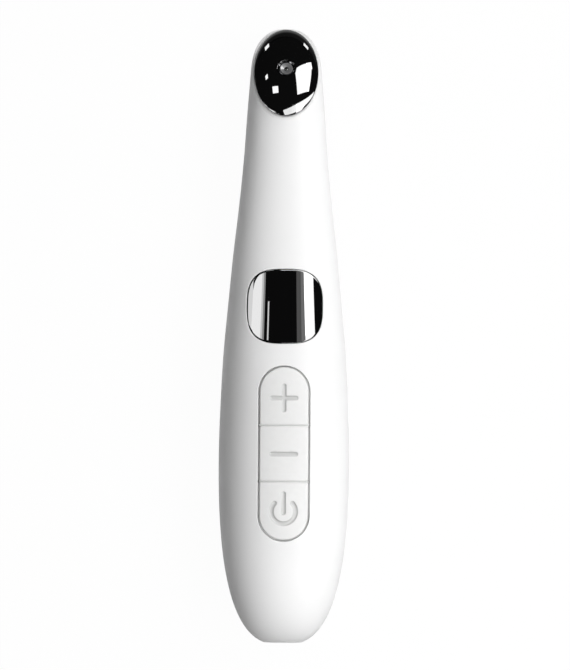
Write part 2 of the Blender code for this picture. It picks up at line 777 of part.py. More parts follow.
def make_head():
    """The treatment head: cap, light, heater, board and the carrier that holds them."""
    hole_radius = LENS_RADIUS + 2 * SLIP + RING_WALL
    edge = GAP + CAP_EDGE
    outer = dome_points(CAP_HALF_LENGTH, CAP_TOP, edge, CAP_STEPS)[1:]
    inner = dome_points(CAP_HALF_LENGTH - CAP_WALL, CAP_TOP - CAP_WALL, edge, CAP_STEPS)[1:]
    inner = [point for point in inner if point[0] < SPIGOT_INSIDE]
    start = hole_radius / 4
    profile = [(start, CAP_TOP)] + outer
    profile += [(CAP_HALF_LENGTH - GAP, GAP), (SPIGOT_RADIUS, GAP), (SPIGOT_RADIUS, -SPIGOT_DEPTH),
                (SPIGOT_INSIDE, -SPIGOT_DEPTH)]
    profile += [(SPIGOT_INSIDE, edge)] + inner[::-1] + [(start, CAP_TOP - CAP_WALL)]
    cap = turned("treatment_head", profile, OVAL_STEPS, FINISH_BLACK_CHROME, head_frame)
    cap.scale.x = OVAL_SHARE
    light_hole = add("light_hole", rod_mesh("light_hole", hole_radius, 2 * CAP_TOP + OVERRUN), None,
                     (0.0, 0.0, CAP_TOP), head_frame)
    cut(cap, light_hole)

    seal_height = -SPIGOT_DEPTH / 2
    seal_turns = [2 * math.pi * step / SEAL_SIDES for step in range(SEAL_SIDES)]
    seal = turned("head_seal", [(SEAL_RING_RADIUS - SEAL_RADIUS * math.cos(turn),
                                 seal_height + SEAL_RADIUS * math.sin(turn)) for turn in seal_turns],
                  OVAL_STEPS, FINISH_RUBBER, head_frame)
    seal.scale.x = OVAL_SHARE

    ring_inside = LENS_RADIUS + SLIP
    ring_outside = ring_inside + RING_WALL
    turned("light_ring", [(ring_inside, CAP_TOP), (ring_outside, CAP_TOP),
                          (ring_outside, CAP_TOP - RING_HEIGHT), (ring_inside, CAP_TOP - RING_HEIGHT)],
           RING_SIDES, FINISH_STEEL, head_frame)

    plate_top = edge - GAP
    plate_bottom = plate_top - PLATE_THICKNESS
    board_top = plate_bottom - HEAD_BOARD_DROP
    board_bottom = board_top - HEAD_BOARD_THICKNESS
    light_radius = hole_radius + PLATE_LIGHT_MARGIN
    inside_radius = SPIGOT_INSIDE - GAP
    disc = rod_mesh("heater_plate", inside_radius, PLATE_THICKNESS, segments=OVAL_STEPS)
    plate_spot = (0.0, 0.0, (plate_top + plate_bottom) / 2)
    heater = add("heater_plate", disc, FINISH_ALUMINIUM, plate_spot, head_frame)
    heater.scale.x = OVAL_SHARE
    plate_hole = add("plate_hole", rod_mesh("plate_hole", light_radius, CAP_TOP), None, parent=head_frame)
    cut(heater, plate_hole)
    disc = rod_mesh("head_board", inside_radius, HEAD_BOARD_THICKNESS, segments=OVAL_STEPS)
    board = add("head_board", disc, FINISH_BOARD, (0.0, 0.0, (board_top + board_bottom) / 2), head_frame)
    board.scale.x = OVAL_SHARE

    led_bottom = board_top + SLIP
    led_top = plate_top
    add("head_led", box_mesh("head_led", (LED_WIDTH, LED_WIDTH, led_top - led_bottom)), FINISH_LENS,
        (0.0, 0.0, (led_top + led_bottom) / 2), head_frame)
    lens_bottom = led_top + SLIP
    rod = add("light_lens", rod_mesh("light_lens", LENS_RADIUS, CAP_TOP - LENS_CROWN - lens_bottom),
              FINISH_LENS, (0.0, 0.0, (CAP_TOP - LENS_CROWN + lens_bottom) / 2), head_frame)
    crown = add("lens_crown", rod_mesh("lens_crown", LENS_RADIUS, 2 * LENS_CROWN, top_radius=LENS_RADIUS / 2),
                None, (0.0, 0.0, CAP_TOP - LENS_CROWN), head_frame)
    join(rod, crown)

    sensor_height = HEAD_BOARD_DROP - 2 * SLIP
    sensor_spot = (0.0, SENSOR_PLACE_SHARE * inside_radius, board_top + SLIP + sensor_height / 2)
    add("temperature_sensor", box_mesh("temperature_sensor", (SENSOR_WIDTH, SENSOR_LENGTH, sensor_height)),
        FINISH_CHIP, sensor_spot, head_frame)

    carrier_top = min(-SPIGOT_DEPTH, board_bottom) - GAP
    carrier_bottom = carrier_top - CARRIER_THICKNESS
    carrier_inside = SPIGOT_RADIUS - CARRIER_BAND
    carrier = turned("head_carrier", [(SPIGOT_RADIUS, carrier_top), (SPIGOT_RADIUS, carrier_bottom),
                                      (carrier_inside, carrier_bottom), (carrier_inside, carrier_top)],
                     OVAL_STEPS, FINISH_DARK_PLASTIC, head_frame)
    carrier.scale.x = OVAL_SHARE


def make_display():
    """The window, flush with the front, and the display it covers."""
    body = body_cutter("body_skin", 0.0)
    under_window = body_cutter("under_window", WINDOW_THICKNESS)
    outline = window_outline(WINDOW_WIDTH, WINDOW_LENGTH)
    high = DEPTH + OVERRUN
    window = add("display_window", slab_mesh("display_window", outline, BOARD_TOP, high), FINISH_GLASS,
                 (0.0, along(WINDOW_PLACE), 0.0))
    keep_inside(window, body)
    cut(window, under_window)

    gasket_inset = WINDOW_THICKNESS + SLIP
    holder_inset = gasket_inset + GASKET_THICKNESS + SLIP
    gasket_top = body_cutter("gasket_top", gasket_inset)
    gasket_bottom = body_cutter("gasket_bottom", holder_inset - SLIP)
    gasket_hole = upright_cutter("gasket_hole", window_outline(WINDOW_WIDTH - 2 * GASKET_BAND,
                                                               WINDOW_LENGTH - 2 * GASKET_BAND),
                                 WINDOW_PLACE, 0.0, high)
    gasket = add("display_gasket", slab_mesh("display_gasket", outline, BOARD_TOP, high - SLIP),
                 FINISH_RUBBER, (0.0, along(WINDOW_PLACE), 0.0))
    keep_inside(gasket, gasket_top)
    cut(gasket, gasket_bottom, gasket_hole)

    holder_body = body_cutter("holder_top", holder_inset)
    holder_width = WINDOW_WIDTH - 2 * WINDOW_GAP
    holder_length = WINDOW_LENGTH - 2 * WINDOW_GAP
    holder_bottom = BOARD_TOP + SLIP + SCREW_HEAD_HEIGHT + GAP
    holder = add("display_holder", slab_mesh("display_holder", window_outline(holder_width, holder_length),
                                             holder_bottom, high), FINISH_DARK_PLASTIC,
                 (0.0, along(WINDOW_PLACE), 0.0))
    keep_inside(holder, holder_body)
    panel_width = WINDOW_WIDTH * WINDOW_DIAGONAL_SHARE - 2 * GASKET_BAND
    panel_length = WINDOW_LENGTH * WINDOW_DIAGONAL_SHARE - 2 * HOLDER_WALL
    far = WINDOW_PLACE + panel_length / 2
    panel_top = front_height(far, panel_width / 2, WINDOW_THICKNESS) - GAP
    panel_bottom = panel_top - PANEL_THICKNESS
    pocket = add("panel_pocket", box_mesh("panel_pocket", (panel_width + 2 * SLIP, panel_length + 2 * SLIP,
                                                           DEPTH)), None,
                 (0.0, along(WINDOW_PLACE), panel_bottom - GAP + DEPTH / 2))
    way = panel_length - 2 * HOLDER_WALL
    passage = add("ribbon_passage", box_mesh("ribbon_passage", (panel_width - 2 * HOLDER_WALL, way, DEPTH)),
                  None, (0.0, along(WINDOW_PLACE), panel_bottom - DEPTH / 4))
    cut(holder, pocket, passage)
    leg_bottom = BOARD_TOP + GAP
    leg_top = holder_bottom + GAP
    leg_forward = (panel_length / 2 + SLIP + holder_length / 2) / 2
    for side in (-1, 1):
        for forward in (-1, 1):
            leg_size = (HOLDER_WALL, HOLDER_WALL, leg_top - leg_bottom)
            leg_y = along(WINDOW_PLACE) + forward * leg_forward
            spot = (side * RIBBON_WIDTH, leg_y, (leg_top + leg_bottom) / 2)
            leg = add("holder_leg", box_mesh("holder_leg", leg_size), None, spot)
            join(holder, leg)
    add("display_panel", box_mesh("display_panel", (panel_width, panel_length, PANEL_THICKNESS)), FINISH_CHIP,
        (0.0, along(WINDOW_PLACE), (panel_top + panel_bottom) / 2))
    ribbon("display_ribbon", [(WINDOW_PLACE - way / 4, BOARD_TOP + GAP), (WINDOW_PLACE, BOARD_TOP + 2 * GAP),
                              (WINDOW_PLACE + way / 4, (panel_bottom + BOARD_TOP) / 2),
                              (WINDOW_PLACE + way / 4, panel_bottom - GAP)], RIBBON_WIDTH, FINISH_RIBBON)


def make_keys():
    """Three keys with flanges behind the wall, their switches and the guide around them."""
    proud = body_cutter("key_tops", -KEY_PROUD)
    flange_top = body_cutter("flange_tops", WALL + GAP)
    flange_under = body_cutter("flange_undersides", KEY_UNDER_INSET)
    split = KEY_SPLIT / 2
    tops = key_outlines(KEY_HALF_WIDTH, KEY_END, split, KEY_CORNER)
    reach = KEY_FLANGE_REACH + GAP
    flanges = key_outlines(KEY_HALF_WIDTH + reach, KEY_END + reach, split, KEY_CORNER)
    high = DEPTH + OVERRUN
    end_offset = (KEY_DIVIDER + PILL_LENGTH / 2) / 2
    offsets = (end_offset, 0.0, -end_offset)
    for name, top, flange, offset in zip(("plus", "minus", "power"), tops, flanges, offsets):
        place = PILL_PLACE + offset
        under = front_height(place, 0.0, KEY_UNDER_INSET)
        stem_bottom = under - STEM_LENGTH
        centre = (0.0, along(place), under)
        key = add(name + "_button", slab_mesh(name + "_button", moved(top, offset), BOARD_TOP - under,
                                              high - under), FINISH_KEY, centre)
        keep_inside(key, proud)
        blank = add(name + "_flange", slab_mesh(name + "_flange", moved(flange, offset),
                                                BOARD_TOP + GAP - under, high - under), None, centre)
        keep_inside(blank, flange_top)
        join(key, blank)
        cut(key, flange_under)
        stem_top = under + KEY_FLANGE / 2
        stem = add(name + "_stem", rod_mesh(name + "_stem", STEM_RADIUS, stem_top - stem_bottom), None,
                   (0.0, along(place), (stem_top + stem_bottom) / 2))
        join(key, stem)
        make_switch(name, place, stem_bottom - SLIP)
    make_guide(offsets)


def make_switch(name, place, plunger_top):
    """A push switch on the board: a square body with a plunger in a round well."""
    body_top = plunger_top - PLUNGER_SHOWN
    body_bottom = BOARD_TOP + SLIP
    well_floor = plunger_top - PLUNGER_LENGTH - KEY_TRAVEL - GAP
    well = add(name + "_well", rod_mesh(name + "_well", PLUNGER_RADIUS + SLIP, 2 * (body_top - well_floor)),
               None, (0.0, along(place), body_top))
    body_size = (SWITCH_WIDTH, SWITCH_WIDTH, body_top - body_bottom)
    body = add(name + "_switch", box_mesh(name + "_switch", body_size), FINISH_CHIP,
               (0.0, along(place), (body_top + body_bottom) / 2))
    cut(body, well)
    add(name + "_plunger", rod_mesh(name + "_plunger", PLUNGER_RADIUS, PLUNGER_LENGTH), FINISH_STEEL,
        (0.0, along(place), plunger_top - PLUNGER_LENGTH / 2))


def make_guide(offsets):
    """A frame on the board that stops the keys from sinking in, with a window for each switch."""
    half_width = SWITCH_WIDTH / 2 + SLIP + GUIDE_RAIL
    window = SWITCH_WIDTH + 2 * SLIP
    end = offsets[0] + window / 2 + GUIDE_RAIL
    edge = KEY_HALF_WIDTH + KEY_FLANGE_REACH
    lowest = min(front_height(PILL_PLACE + side * KEY_END, edge, KEY_UNDER_INSET) for side in (-1, 1))
    top = lowest - KEY_TRAVEL - GAP
    bottom = top - GUIDE_THICKNESS
    outline = rounded_outline(-half_width, half_width, -end, end, KEY_CORNER, KEY_CORNER)
    guide = add("button_guide", slab_mesh("button_guide", outline, bottom, top), FINISH_DARK_PLASTIC,
                (0.0, along(PILL_PLACE), 0.0))
    for offset in offsets:
        hole = add("switch_window", box_mesh("switch_window", (window, window, DEPTH)), None,
                   (0.0, along(PILL_PLACE + offset), bottom))
        cut(guide, hole)
    leg_bottom = BOARD_TOP + GAP
    leg_top = bottom + GUIDE_THICKNESS / 2
    for side in (-1, 1):
        for forward in (-1, 1):
            leg = add("guide_leg", box_mesh("guide_leg", (GUIDE_LEG, GUIDE_LEG, leg_top - leg_bottom)), None,
                      (side * (half_width - GUIDE_LEG), along(PILL_PLACE) + forward * (end - GUIDE_LEG),
                       (leg_top + leg_bottom) / 2))
            join(guide, leg)


def make_board():
    """The main board on its four posts, with its screws and the larger parts on it."""
    start, wide, end = BOARD_START, BOARD_WIDE_START, BOARD_END
    outline = [(-BOARD_NARROW_HALF, along(start)), (BOARD_NARROW_HALF, along(start)),
               (BOARD_HALF_WIDTH, along(wide)), (BOARD_HALF_WIDTH, along(end)),
               (-BOARD_HALF_WIDTH, along(end)), (-BOARD_HALF_WIDTH, along(wide))]
    board = add("main_board", slab_mesh("main_board", outline, BOARD_BOTTOM, BOARD_TOP), FINISH_BOARD)
    number = 0
    for place in POST_PLACES:
        for side in (-1, 1):
            number += 1
            spot = (side * POST_SIDE, along(place), BOARD_TOP)
            hole = add("board_hole", rod_mesh("board_hole", SCREW_RADIUS + SCREW_PLAY, 4 * BOARD_THICKNESS),
                       None, spot)
            cut(board, hole)
            make_screw("board_screw_" + str(number), spot)
    under = BOARD_BOTTOM - SLIP
    side = CONNECTOR_WIDTH / 2 + GAP
    chip_place = POST_PLACES[1] - POST_RADIUS - GAP - CHIP_WIDTH / 2
    add("control_chip", box_mesh("control_chip", (CHIP_WIDTH, CHIP_WIDTH, CHIP_HEIGHT)), FINISH_CHIP,
        (-side - CHIP_WIDTH / 2, along(chip_place), under - CHIP_HEIGHT / 2))
    add("boost_inductor", rod_mesh("boost_inductor", INDUCTOR_RADIUS, INDUCTOR_HEIGHT), FINISH_CHIP,
        (side + INDUCTOR_RADIUS, along(chip_place), under - INDUCTOR_HEIGHT / 2))
    connector_place = BATTERY_END + RIB_THICKNESS + CONNECTOR_LENGTH / 2
    connector_bottom = under - CONNECTOR_HEIGHT
    connector_size = (CONNECTOR_WIDTH, CONNECTOR_LENGTH, CONNECTOR_HEIGHT)
    add("battery_connector", box_mesh("battery_connector", connector_size), FINISH_LIGHT_PLASTIC,
        (0.0, along(connector_place), (under + connector_bottom) / 2))
    for name, side, finish in (("battery_lead_red", -1, FINISH_RED), ("battery_lead_black", 1, FINISH_BLACK)):
        x = side * LEAD_SPREAD
        rib_far = BATTERY_END + GAP + RIB_THICKNESS
        level = WALL + BATTERY_RIB_HEIGHT + GAP + 2 * LEAD_RADIUS
        wire(name, [(x, along(BATTERY_END + GAP), level), (x, along(rib_far), level),
                    (x, along(rib_far + 2 * LEAD_SPREAD), (level + connector_bottom) / 2),
                    (x, along(connector_place), connector_bottom - GAP)], LEAD_RADIUS, finish)


def make_screw(name, spot):
    """A pan-head screw standing in a board hole."""
    x, y, level = spot
    head = add(name, rod_mesh(name, SCREW_HEAD_RADIUS, SCREW_HEAD_HEIGHT), FINISH_STEEL,
               (x, y, level + SLIP + SCREW_HEAD_HEIGHT / 2))
    shank_top = level + SLIP + SCREW_HEAD_HEIGHT / 2
    shank_bottom = level - SCREW_LENGTH
    rod = rod_mesh(name + "_shank", SCREW_RADIUS, shank_top - shank_bottom, segments=THIN_SIDES)
    shank = add(name + "_shank", rod, None, (x, y, (shank_top + shank_bottom) / 2))
    join(head, shank)


def make_socket():
    """The charging socket behind its mouth in the charging end, and its contact tongue."""
    back = SOCKET_RECESS + SOCKET_DEPTH
    middle = (SOCKET_RECESS + back) / 2
    outline = rounded_outline(-SOCKET_WIDTH / 2, SOCKET_WIDTH / 2, -SOCKET_HEIGHT / 2, SOCKET_HEIGHT / 2,
                              SOCKET_CORNER, SOCKET_CORNER)
    shell = add("charging_socket", slab_mesh("charging_socket", outline, -SOCKET_DEPTH / 2, SOCKET_DEPTH / 2),
                FINISH_STEEL, (0.0, along(middle), SOCKET_CENTRE_HEIGHT))
    shell.rotation_euler = (math.pi / 2, 0.0, 0.0)
    inner_outline = rounded_outline(-SOCKET_WIDTH / 2 + SOCKET_WALL, SOCKET_WIDTH / 2 - SOCKET_WALL,
                                    -SOCKET_HEIGHT / 2 + SOCKET_WALL, SOCKET_HEIGHT / 2 - SOCKET_WALL,
                                    SOCKET_CORNER - SOCKET_WALL, SOCKET_CORNER - SOCKET_WALL)
    slab = slab_mesh("socket_hollow", inner_outline, -SOCKET_DEPTH / 2, SOCKET_DEPTH / 2)
    hollow = add("socket_hollow", slab, None, (0.0, along(middle - 2 * SOCKET_WALL), SOCKET_CENTRE_HEIGHT))
    hollow.rotation_euler = (math.pi / 2, 0.0, 0.0)
    cut(shell, hollow)
    tongue_front = SOCKET_RECESS + TONGUE_RECESS
    tongue_back = back - 2 * SOCKET_WALL - GAP
    add("socket_tongue", box_mesh("socket_tongue", (TONGUE_WIDTH, tongue_back - tongue_front, TONGUE_HEIGHT)),
        FINISH_DARK_PLASTIC, (0.0, along((tongue_front + tongue_back) / 2), SOCKET_CENTRE_HEIGHT))


def make_battery():
    """The pouch cell on its foam pad."""
    outline = rounded_outline(-BATTERY_HALF_WIDTH, BATTERY_HALF_WIDTH, BATTERY_BOTTOM, BATTERY_TOP,
                              BATTERY_CORNER, BATTERY_CORNER)
    cell = add("battery_cell", slab_mesh("battery_cell", outline, -BATTERY_LENGTH / 2, BATTERY_LENGTH / 2),
               FINISH_BATTERY, (0.0, along(BATTERY_PLACE), 0.0))
    cell.rotation_euler = (math.pi / 2, 0.0, 0.0)
    pad_bottom = WALL + GAP
    pad_reach = BATTERY_LENGTH / 2 - PAD_MARGIN
    pad_half = min(room(BATTERY_PLACE + end * pad_reach, pad_bottom, WALL) for end in (-1, 1)) - PAD_SIDE
    pad_size = (2 * pad_half, 2 * pad_reach, PAD_THICKNESS)
    add("battery_pad", box_mesh("battery_pad", pad_size), FINISH_FOAM,
        (0.0, along(BATTERY_PLACE), pad_bottom + PAD_THICKNESS / 2))


def make_motor():
    """The vibration motor in its rubber sleeve, with its shaft and half-moon weight."""
    axis = (0.0, along(MOTOR_MIDDLE), MOTOR_HEIGHT)
    front_face = MOTOR_START + MOTOR_LENGTH
    motor = add("vibration_motor", rod_mesh("vibration_motor", MOTOR_RADIUS, MOTOR_LENGTH, axis="Y"),
                FINISH_STEEL, axis)
    boss = add("motor_boss", rod_mesh("motor_boss", MOTOR_BOSS_RADIUS, 2 * MOTOR_BOSS_LENGTH, axis="Y"), None,
               (0.0, along(front_face), MOTOR_HEIGHT))
    bore_depth = MOTOR_LENGTH / 4
    rod = rod_mesh("motor_bore", SHAFT_RADIUS + SHAFT_PLAY, 2 * bore_depth, axis="Y")
    bore = add("motor_bore", rod, None, (0.0, along(front_face), MOTOR_HEIGHT))
    join(motor, boss)
    cut(motor, bore)
    shaft_start = front_face - bore_depth + GAP
    shaft_end = front_face + SHAFT_SHOWN
    rod = rod_mesh("motor_shaft", SHAFT_RADIUS, shaft_end - shaft_start, axis="Y", segments=THIN_SIDES)
    add("motor_shaft", rod, FINISH_STEEL, (0.0, along((shaft_start + shaft_end) / 2), MOTOR_HEIGHT))

    weight_start = front_face + MOTOR_BOSS_LENGTH + GAP
    weight_middle = weight_start + WEIGHT_LENGTH / 2
    outline = [(WEIGHT_RADIUS * math.cos(math.pi * step / ARC_STEPS), -WEIGHT_RADIUS
                * math.sin(math.pi * step / ARC_STEPS)) for step in range(ARC_STEPS + 1)]
    outline += [(-WEIGHT_HUB, 0.0), (-WEIGHT_HUB, WEIGHT_HUB), (WEIGHT_HUB, WEIGHT_HUB), (WEIGHT_HUB, 0.0)]
    weight = add("eccentric_weight", slab_mesh("eccentric_weight", outline, -WEIGHT_LENGTH / 2,
                                               WEIGHT_LENGTH / 2), FINISH_STEEL,
                 (0.0, along(weight_middle), MOTOR_HEIGHT))
    weight.rotation_euler = (math.pi / 2, 0.0, 0.0)
    bore = add("weight_bore", rod_mesh("weight_bore", SHAFT_RADIUS + SLIP, 2 * WEIGHT_LENGTH, axis="Y",
                                       segments=THIN_SIDES), None, (0.0, along(weight_middle), MOTOR_HEIGHT))
    cut(weight, bore)

    sleeve = add("motor_sleeve", rod_mesh("motor_sleeve", SLEEVE_RADIUS, SLEEVE_LENGTH, axis="Y"),
                 FINISH_RUBBER, axis)
    bore = add("sleeve_bore", rod_mesh("sleeve_bore", MOTOR_RADIUS + SLIP, 2 * SLEEVE_LENGTH, axis="Y"), None,
               axis)
    cut(sleeve, bore)
    lead_place = MOTOR_START - GAP
    lead_middle = (BOARD_END + lead_place - MOTOR_RADIUS) / 2
    for name, side, finish in (("motor_lead_red", -1, FINISH_RED), ("motor_lead_black", 1, FINISH_BLACK)):
        x = side * LEAD_SPREAD
        wire(name, [(x, along(lead_place - LEAD_RADIUS), MOTOR_HEIGHT),
                    (x, along(lead_place - MOTOR_RADIUS), MOTOR_HEIGHT),
                    (x, along(lead_middle), (MOTOR_HEIGHT + BOARD_BOTTOM) / 2),
                    (x, along(BOARD_END - LEAD_SPREAD), BOARD_BOTTOM - GAP - LEAD_RADIUS)],
             LEAD_RADIUS, finish)


def make_head_ribbon():
    """The flat cable from the main board over the motor to the head's board."""
    over_motor = MOTOR_HEIGHT + CRADLE_RADIUS
    way = MOTOR_START + MOTOR_LENGTH + SHAFT_SHOWN
    landing = head_point(0.0, -CAP_HALF_LENGTH / 4, -SPIGOT_DEPTH - 2 * GAP)
    landing_place = landing.y + LENGTH / 2
    low = head_point(0.0, 0.0, -SPIGOT_DEPTH - GAP - CARRIER_THICKNESS - 2 * GAP).z
    ribbon("head_ribbon", [(BOARD_END - PART_MARGIN, BOARD_TOP + GAP), (BOARD_END, BOARD_TOP + 2 * GAP),
                           (MOTOR_START, over_motor + GAP), (MOTOR_MIDDLE, over_motor + GAP),
                           (way, over_motor + GAP), (way + PART_MARGIN, over_motor - PART_MARGIN / 2),
                           ((way + landing_place) / 2 + PART_MARGIN, low),
                           (landing_place - GAP, landing.z - 2 * GAP)], RIBBON_WIDTH, FINISH_RIBBON)


FINISH_WHITE = ((0.93, 0.93, 0.92), 0.22)
FINISH_BLACK_CHROME = ((0.02, 0.02, 0.022), 0.06, 0.7)
FINISH_GLASS = ((0.01, 0.01, 0.012), 0.04)
FINISH_KEY = ((0.83, 0.82, 0.80), 0.5)
FINISH_STEEL = ((0.7, 0.7, 0.7), 0.25, 1.0)
FINISH_ALUMINIUM = ((0.75, 0.76, 0.78), 0.35, 1.0)
FINISH_RUBBER = ((0.03, 0.03, 0.03), 0.8)
FINISH_DARK_PLASTIC = ((0.05, 0.05, 0.055), 0.5)
FINISH_LIGHT_PLASTIC = ((0.85, 0.84, 0.8), 0.45)
FINISH_BOARD = ((0.02, 0.16, 0.07), 0.45)
FINISH_CHIP = ((0.02, 0.02, 0.02), 0.4)
FINISH_LENS = ((0.92, 0.93, 0.95), 0.1)
FINISH_BATTERY = ((0.6, 0.62, 0.65), 0.35, 0.6)
FINISH_FOAM = ((0.2, 0.2, 0.2), 0.95)
FINISH_RIBBON = ((0.55, 0.3, 0.06), 0.4)
FINISH_RED = ((0.6, 0.02, 0.02), 0.45)
FINISH_BLACK = ((0.02, 0.02, 0.02), 0.45)

clear_scene()
parts = new_collection("facial_massager")
cutters = new_collection("cutters")
head_frame = make_head_frame()
make_housings()
make_head()
make_display()
make_keys()
make_board()
make_socket()
make_battery()
make_motor()
make_head_ribbon()
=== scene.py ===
"""Looks of the hand-held facial massager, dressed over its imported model.

Units are metres, in the model's own frame: the wand lies on its back, +Z leaves the front with
its keys and window, +Y runs to the treatment head and +X is to the right. A "place" is a
distance along the body from its charging end, and a "turn" is an angle about the body's widest
line, a quarter turn being the middle of the front.
"""
import json
import math

import bmesh
import bpy
import numpy as np
from mathutils import Matrix, Vector
from mathutils.geometry import delaunay_2d_cdt


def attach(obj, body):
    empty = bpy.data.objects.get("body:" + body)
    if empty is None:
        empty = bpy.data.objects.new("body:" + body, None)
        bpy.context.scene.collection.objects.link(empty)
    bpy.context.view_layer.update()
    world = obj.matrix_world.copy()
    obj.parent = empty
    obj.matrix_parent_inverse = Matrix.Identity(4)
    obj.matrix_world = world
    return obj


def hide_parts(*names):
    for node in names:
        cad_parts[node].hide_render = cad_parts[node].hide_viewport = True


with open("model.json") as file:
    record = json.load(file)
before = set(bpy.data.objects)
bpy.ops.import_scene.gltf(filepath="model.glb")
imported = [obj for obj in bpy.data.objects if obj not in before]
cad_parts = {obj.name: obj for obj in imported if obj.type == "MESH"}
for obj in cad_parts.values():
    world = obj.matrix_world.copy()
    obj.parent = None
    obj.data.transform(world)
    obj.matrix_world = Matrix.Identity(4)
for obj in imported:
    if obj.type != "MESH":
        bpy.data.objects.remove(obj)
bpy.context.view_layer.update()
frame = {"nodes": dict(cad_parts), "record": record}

MM = 0.001

# Body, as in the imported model
LENGTH = 155.0 * MM
HALF_WIDTH = 16.45 * MM
DEPTH = 25.0 * MM
SHELL = 1.8 * MM
GAP = 0.3 * MM
SEAM_DROP = 0.8 * MM
SEAM_GAP = 0.3 * MM
SECTION_POWER = 2.2
BASE_POWER = 2.7
BASE_CENTRE = 0.31 * LENGTH
BASE_END_SHARE = 0.292
BASE_REACH = BASE_CENTRE / (1 - BASE_END_SHARE ** BASE_POWER) ** (1 / BASE_POWER)
NOSE_POWER = 2.4
NOSE_CENTRE = 0.929 * LENGTH
NOSE_REACH = LENGTH - NOSE_CENTRE

# Each row: place as a share of LENGTH, half width as a share of HALF_WIDTH, then rise of the
# front, height of the widest line and drop of the back as shares of DEPTH.
BODY_SHARES = np.array((
    (0.0, 1.0, 0.492, 0.53, 0.488),
    (0.155, 1.0, 0.516, 0.492, 0.53),
    (0.31, 1.0, 0.52, 0.48, 0.545),
    (0.395, 0.976, 0.51, 0.48, 0.545),
    (0.473, 0.936, 0.484, 0.48, 0.535),
    (0.552, 0.869, 0.44, 0.484, 0.512),
    (0.63, 0.799, 0.392, 0.492, 0.46),
    (0.708, 0.715, 0.352, 0.504, 0.396),
    (0.786, 0.644, 0.324, 0.52, 0.348),
    (0.865, 0.592, 0.312, 0.528, 0.308),
    (0.935, 0.541, 0.312, 0.5, 0.28),
    (1.0, 0.505, 0.304, 0.396, 0.256),
))
FLAT_SOFTNESS = 0.12 * MM

# How finely the shells are meshed
BASE_ROWS = 84
MIDDLE_ROWS = 104
NOSE_ROWS = 28
COLUMNS = 64
BASE_RUN = 58.0 * MM
NOSE_RUN = 17.0 * MM
COLUMN_RUN = 22.0 * MM
FILLET_STEPS = 4
SEAM_FILLET = 0.12 * MM
SEAM_LIP = 1.5 * MM
TONGUE_INSET = 0.5 * MM
TONGUE_RISE = 1.0 * MM
BASE_END_RINGS = (0.0, 0.3, 0.65, 1.0)
OUTLINE_POINTS = 600
OPENING_RINGS = (0.0, 0.15 * MM, 0.5 * MM, 1.0 * MM)
RING_CLEARANCE = 0.4 * MM
WELD = 0.002 * MM
SLIVER = 0.001 * MM
HALVINGS = 50

# Window, and the pill-shaped opening for the keys
WINDOW_PLACE = 0.547 * LENGTH
WINDOW_WIDTH = 18.9 * MM
WINDOW_LENGTH = 18.6 * MM
WINDOW_POWER = 3.0
WINDOW_GAP = 0.12 * MM
WINDOW_FILLET = 0.22 * MM
WINDOW_ROLL = 0.3 * MM
WINDOW_ROLL_DROP = 0.06 * MM
WINDOW_THICKNESS = 1.6 * MM
WINDOW_POINTS = 144
WINDOW_RINGS = 18
PILL_PLACE = 0.3085 * LENGTH
PILL_WIDTH = 13.05 * MM
PILL_LENGTH = 0.2852 * LENGTH
PILL_FILLET = 0.18 * MM
PILL_POINTS = 200
PILL_CORNER_STEPS = 24

# Keys: KEY_SPLIT parts them, KEY_SHY widens the line round them, and skirts below fill the opening
MIDDLE_KEY_SHARE = 0.32
KEY_PROUD = 0.25 * MM
KEY_CORNER = 0.4 * MM
KEY_SPLIT = 0.45 * MM
KEY_EDGE = 0.22 * MM
SKIRT_DROP = 1.4 * MM
SKIRT_CORNER = 0.05 * MM
DIVIDER_DROP = 0.36 * MM
ON_LINE = 0.01 * MM
KEY_SHY = 0.12 * MM
SKIRT_PLAY = 0.03 * MM
KEY_SIDE = 1.5 * MM
KEY_POINTS = 160
KEY_SUPPORT = 0.25 * MM
KEY_GRID = 0.55 * MM
KEY_CLEARANCE = 0.25 * MM

# Opening for the charging socket
PORT_WIDTH = 8.2 * MM
PORT_HEIGHT = 3.5 * MM
PORT_CORNER = 1.1 * MM
PORT_FILLET = 0.25 * MM
PORT_DEPTH = 1.8 * MM
PORT_POINTS = 400

# Signs sunk into the keys
PLUS_SIGN_PLACE = 61.8 * MM
MINUS_SIGN_PLACE = 47.7 * MM
POWER_SIGN_PLACE = 33.3 * MM
SIGN_STROKE = 0.87 * MM
SIGN_ARM = 3.45 * MM
SIGN_EDGE = 0.18 * MM
SIGN_DEPTH = 0.3 * MM
POWER_RADIUS = 3.06 * MM
POWER_GAP = math.radians(47.0)
POWER_BAR_NEAR = -0.35 * MM
POWER_BAR_FAR = 4.45 * MM
SIGN_ROUND_STEPS = 8
SIGN_ARC_STEPS = 40
# A groove's wall from its rim down: shares of SIGN_EDGE and of SIGN_DEPTH
SIGN_PROFILE = ((1.0, 0.0), (0.3, 0.12), (0.0, 0.35), (-0.3, 0.8), (-1.0, 1.0))

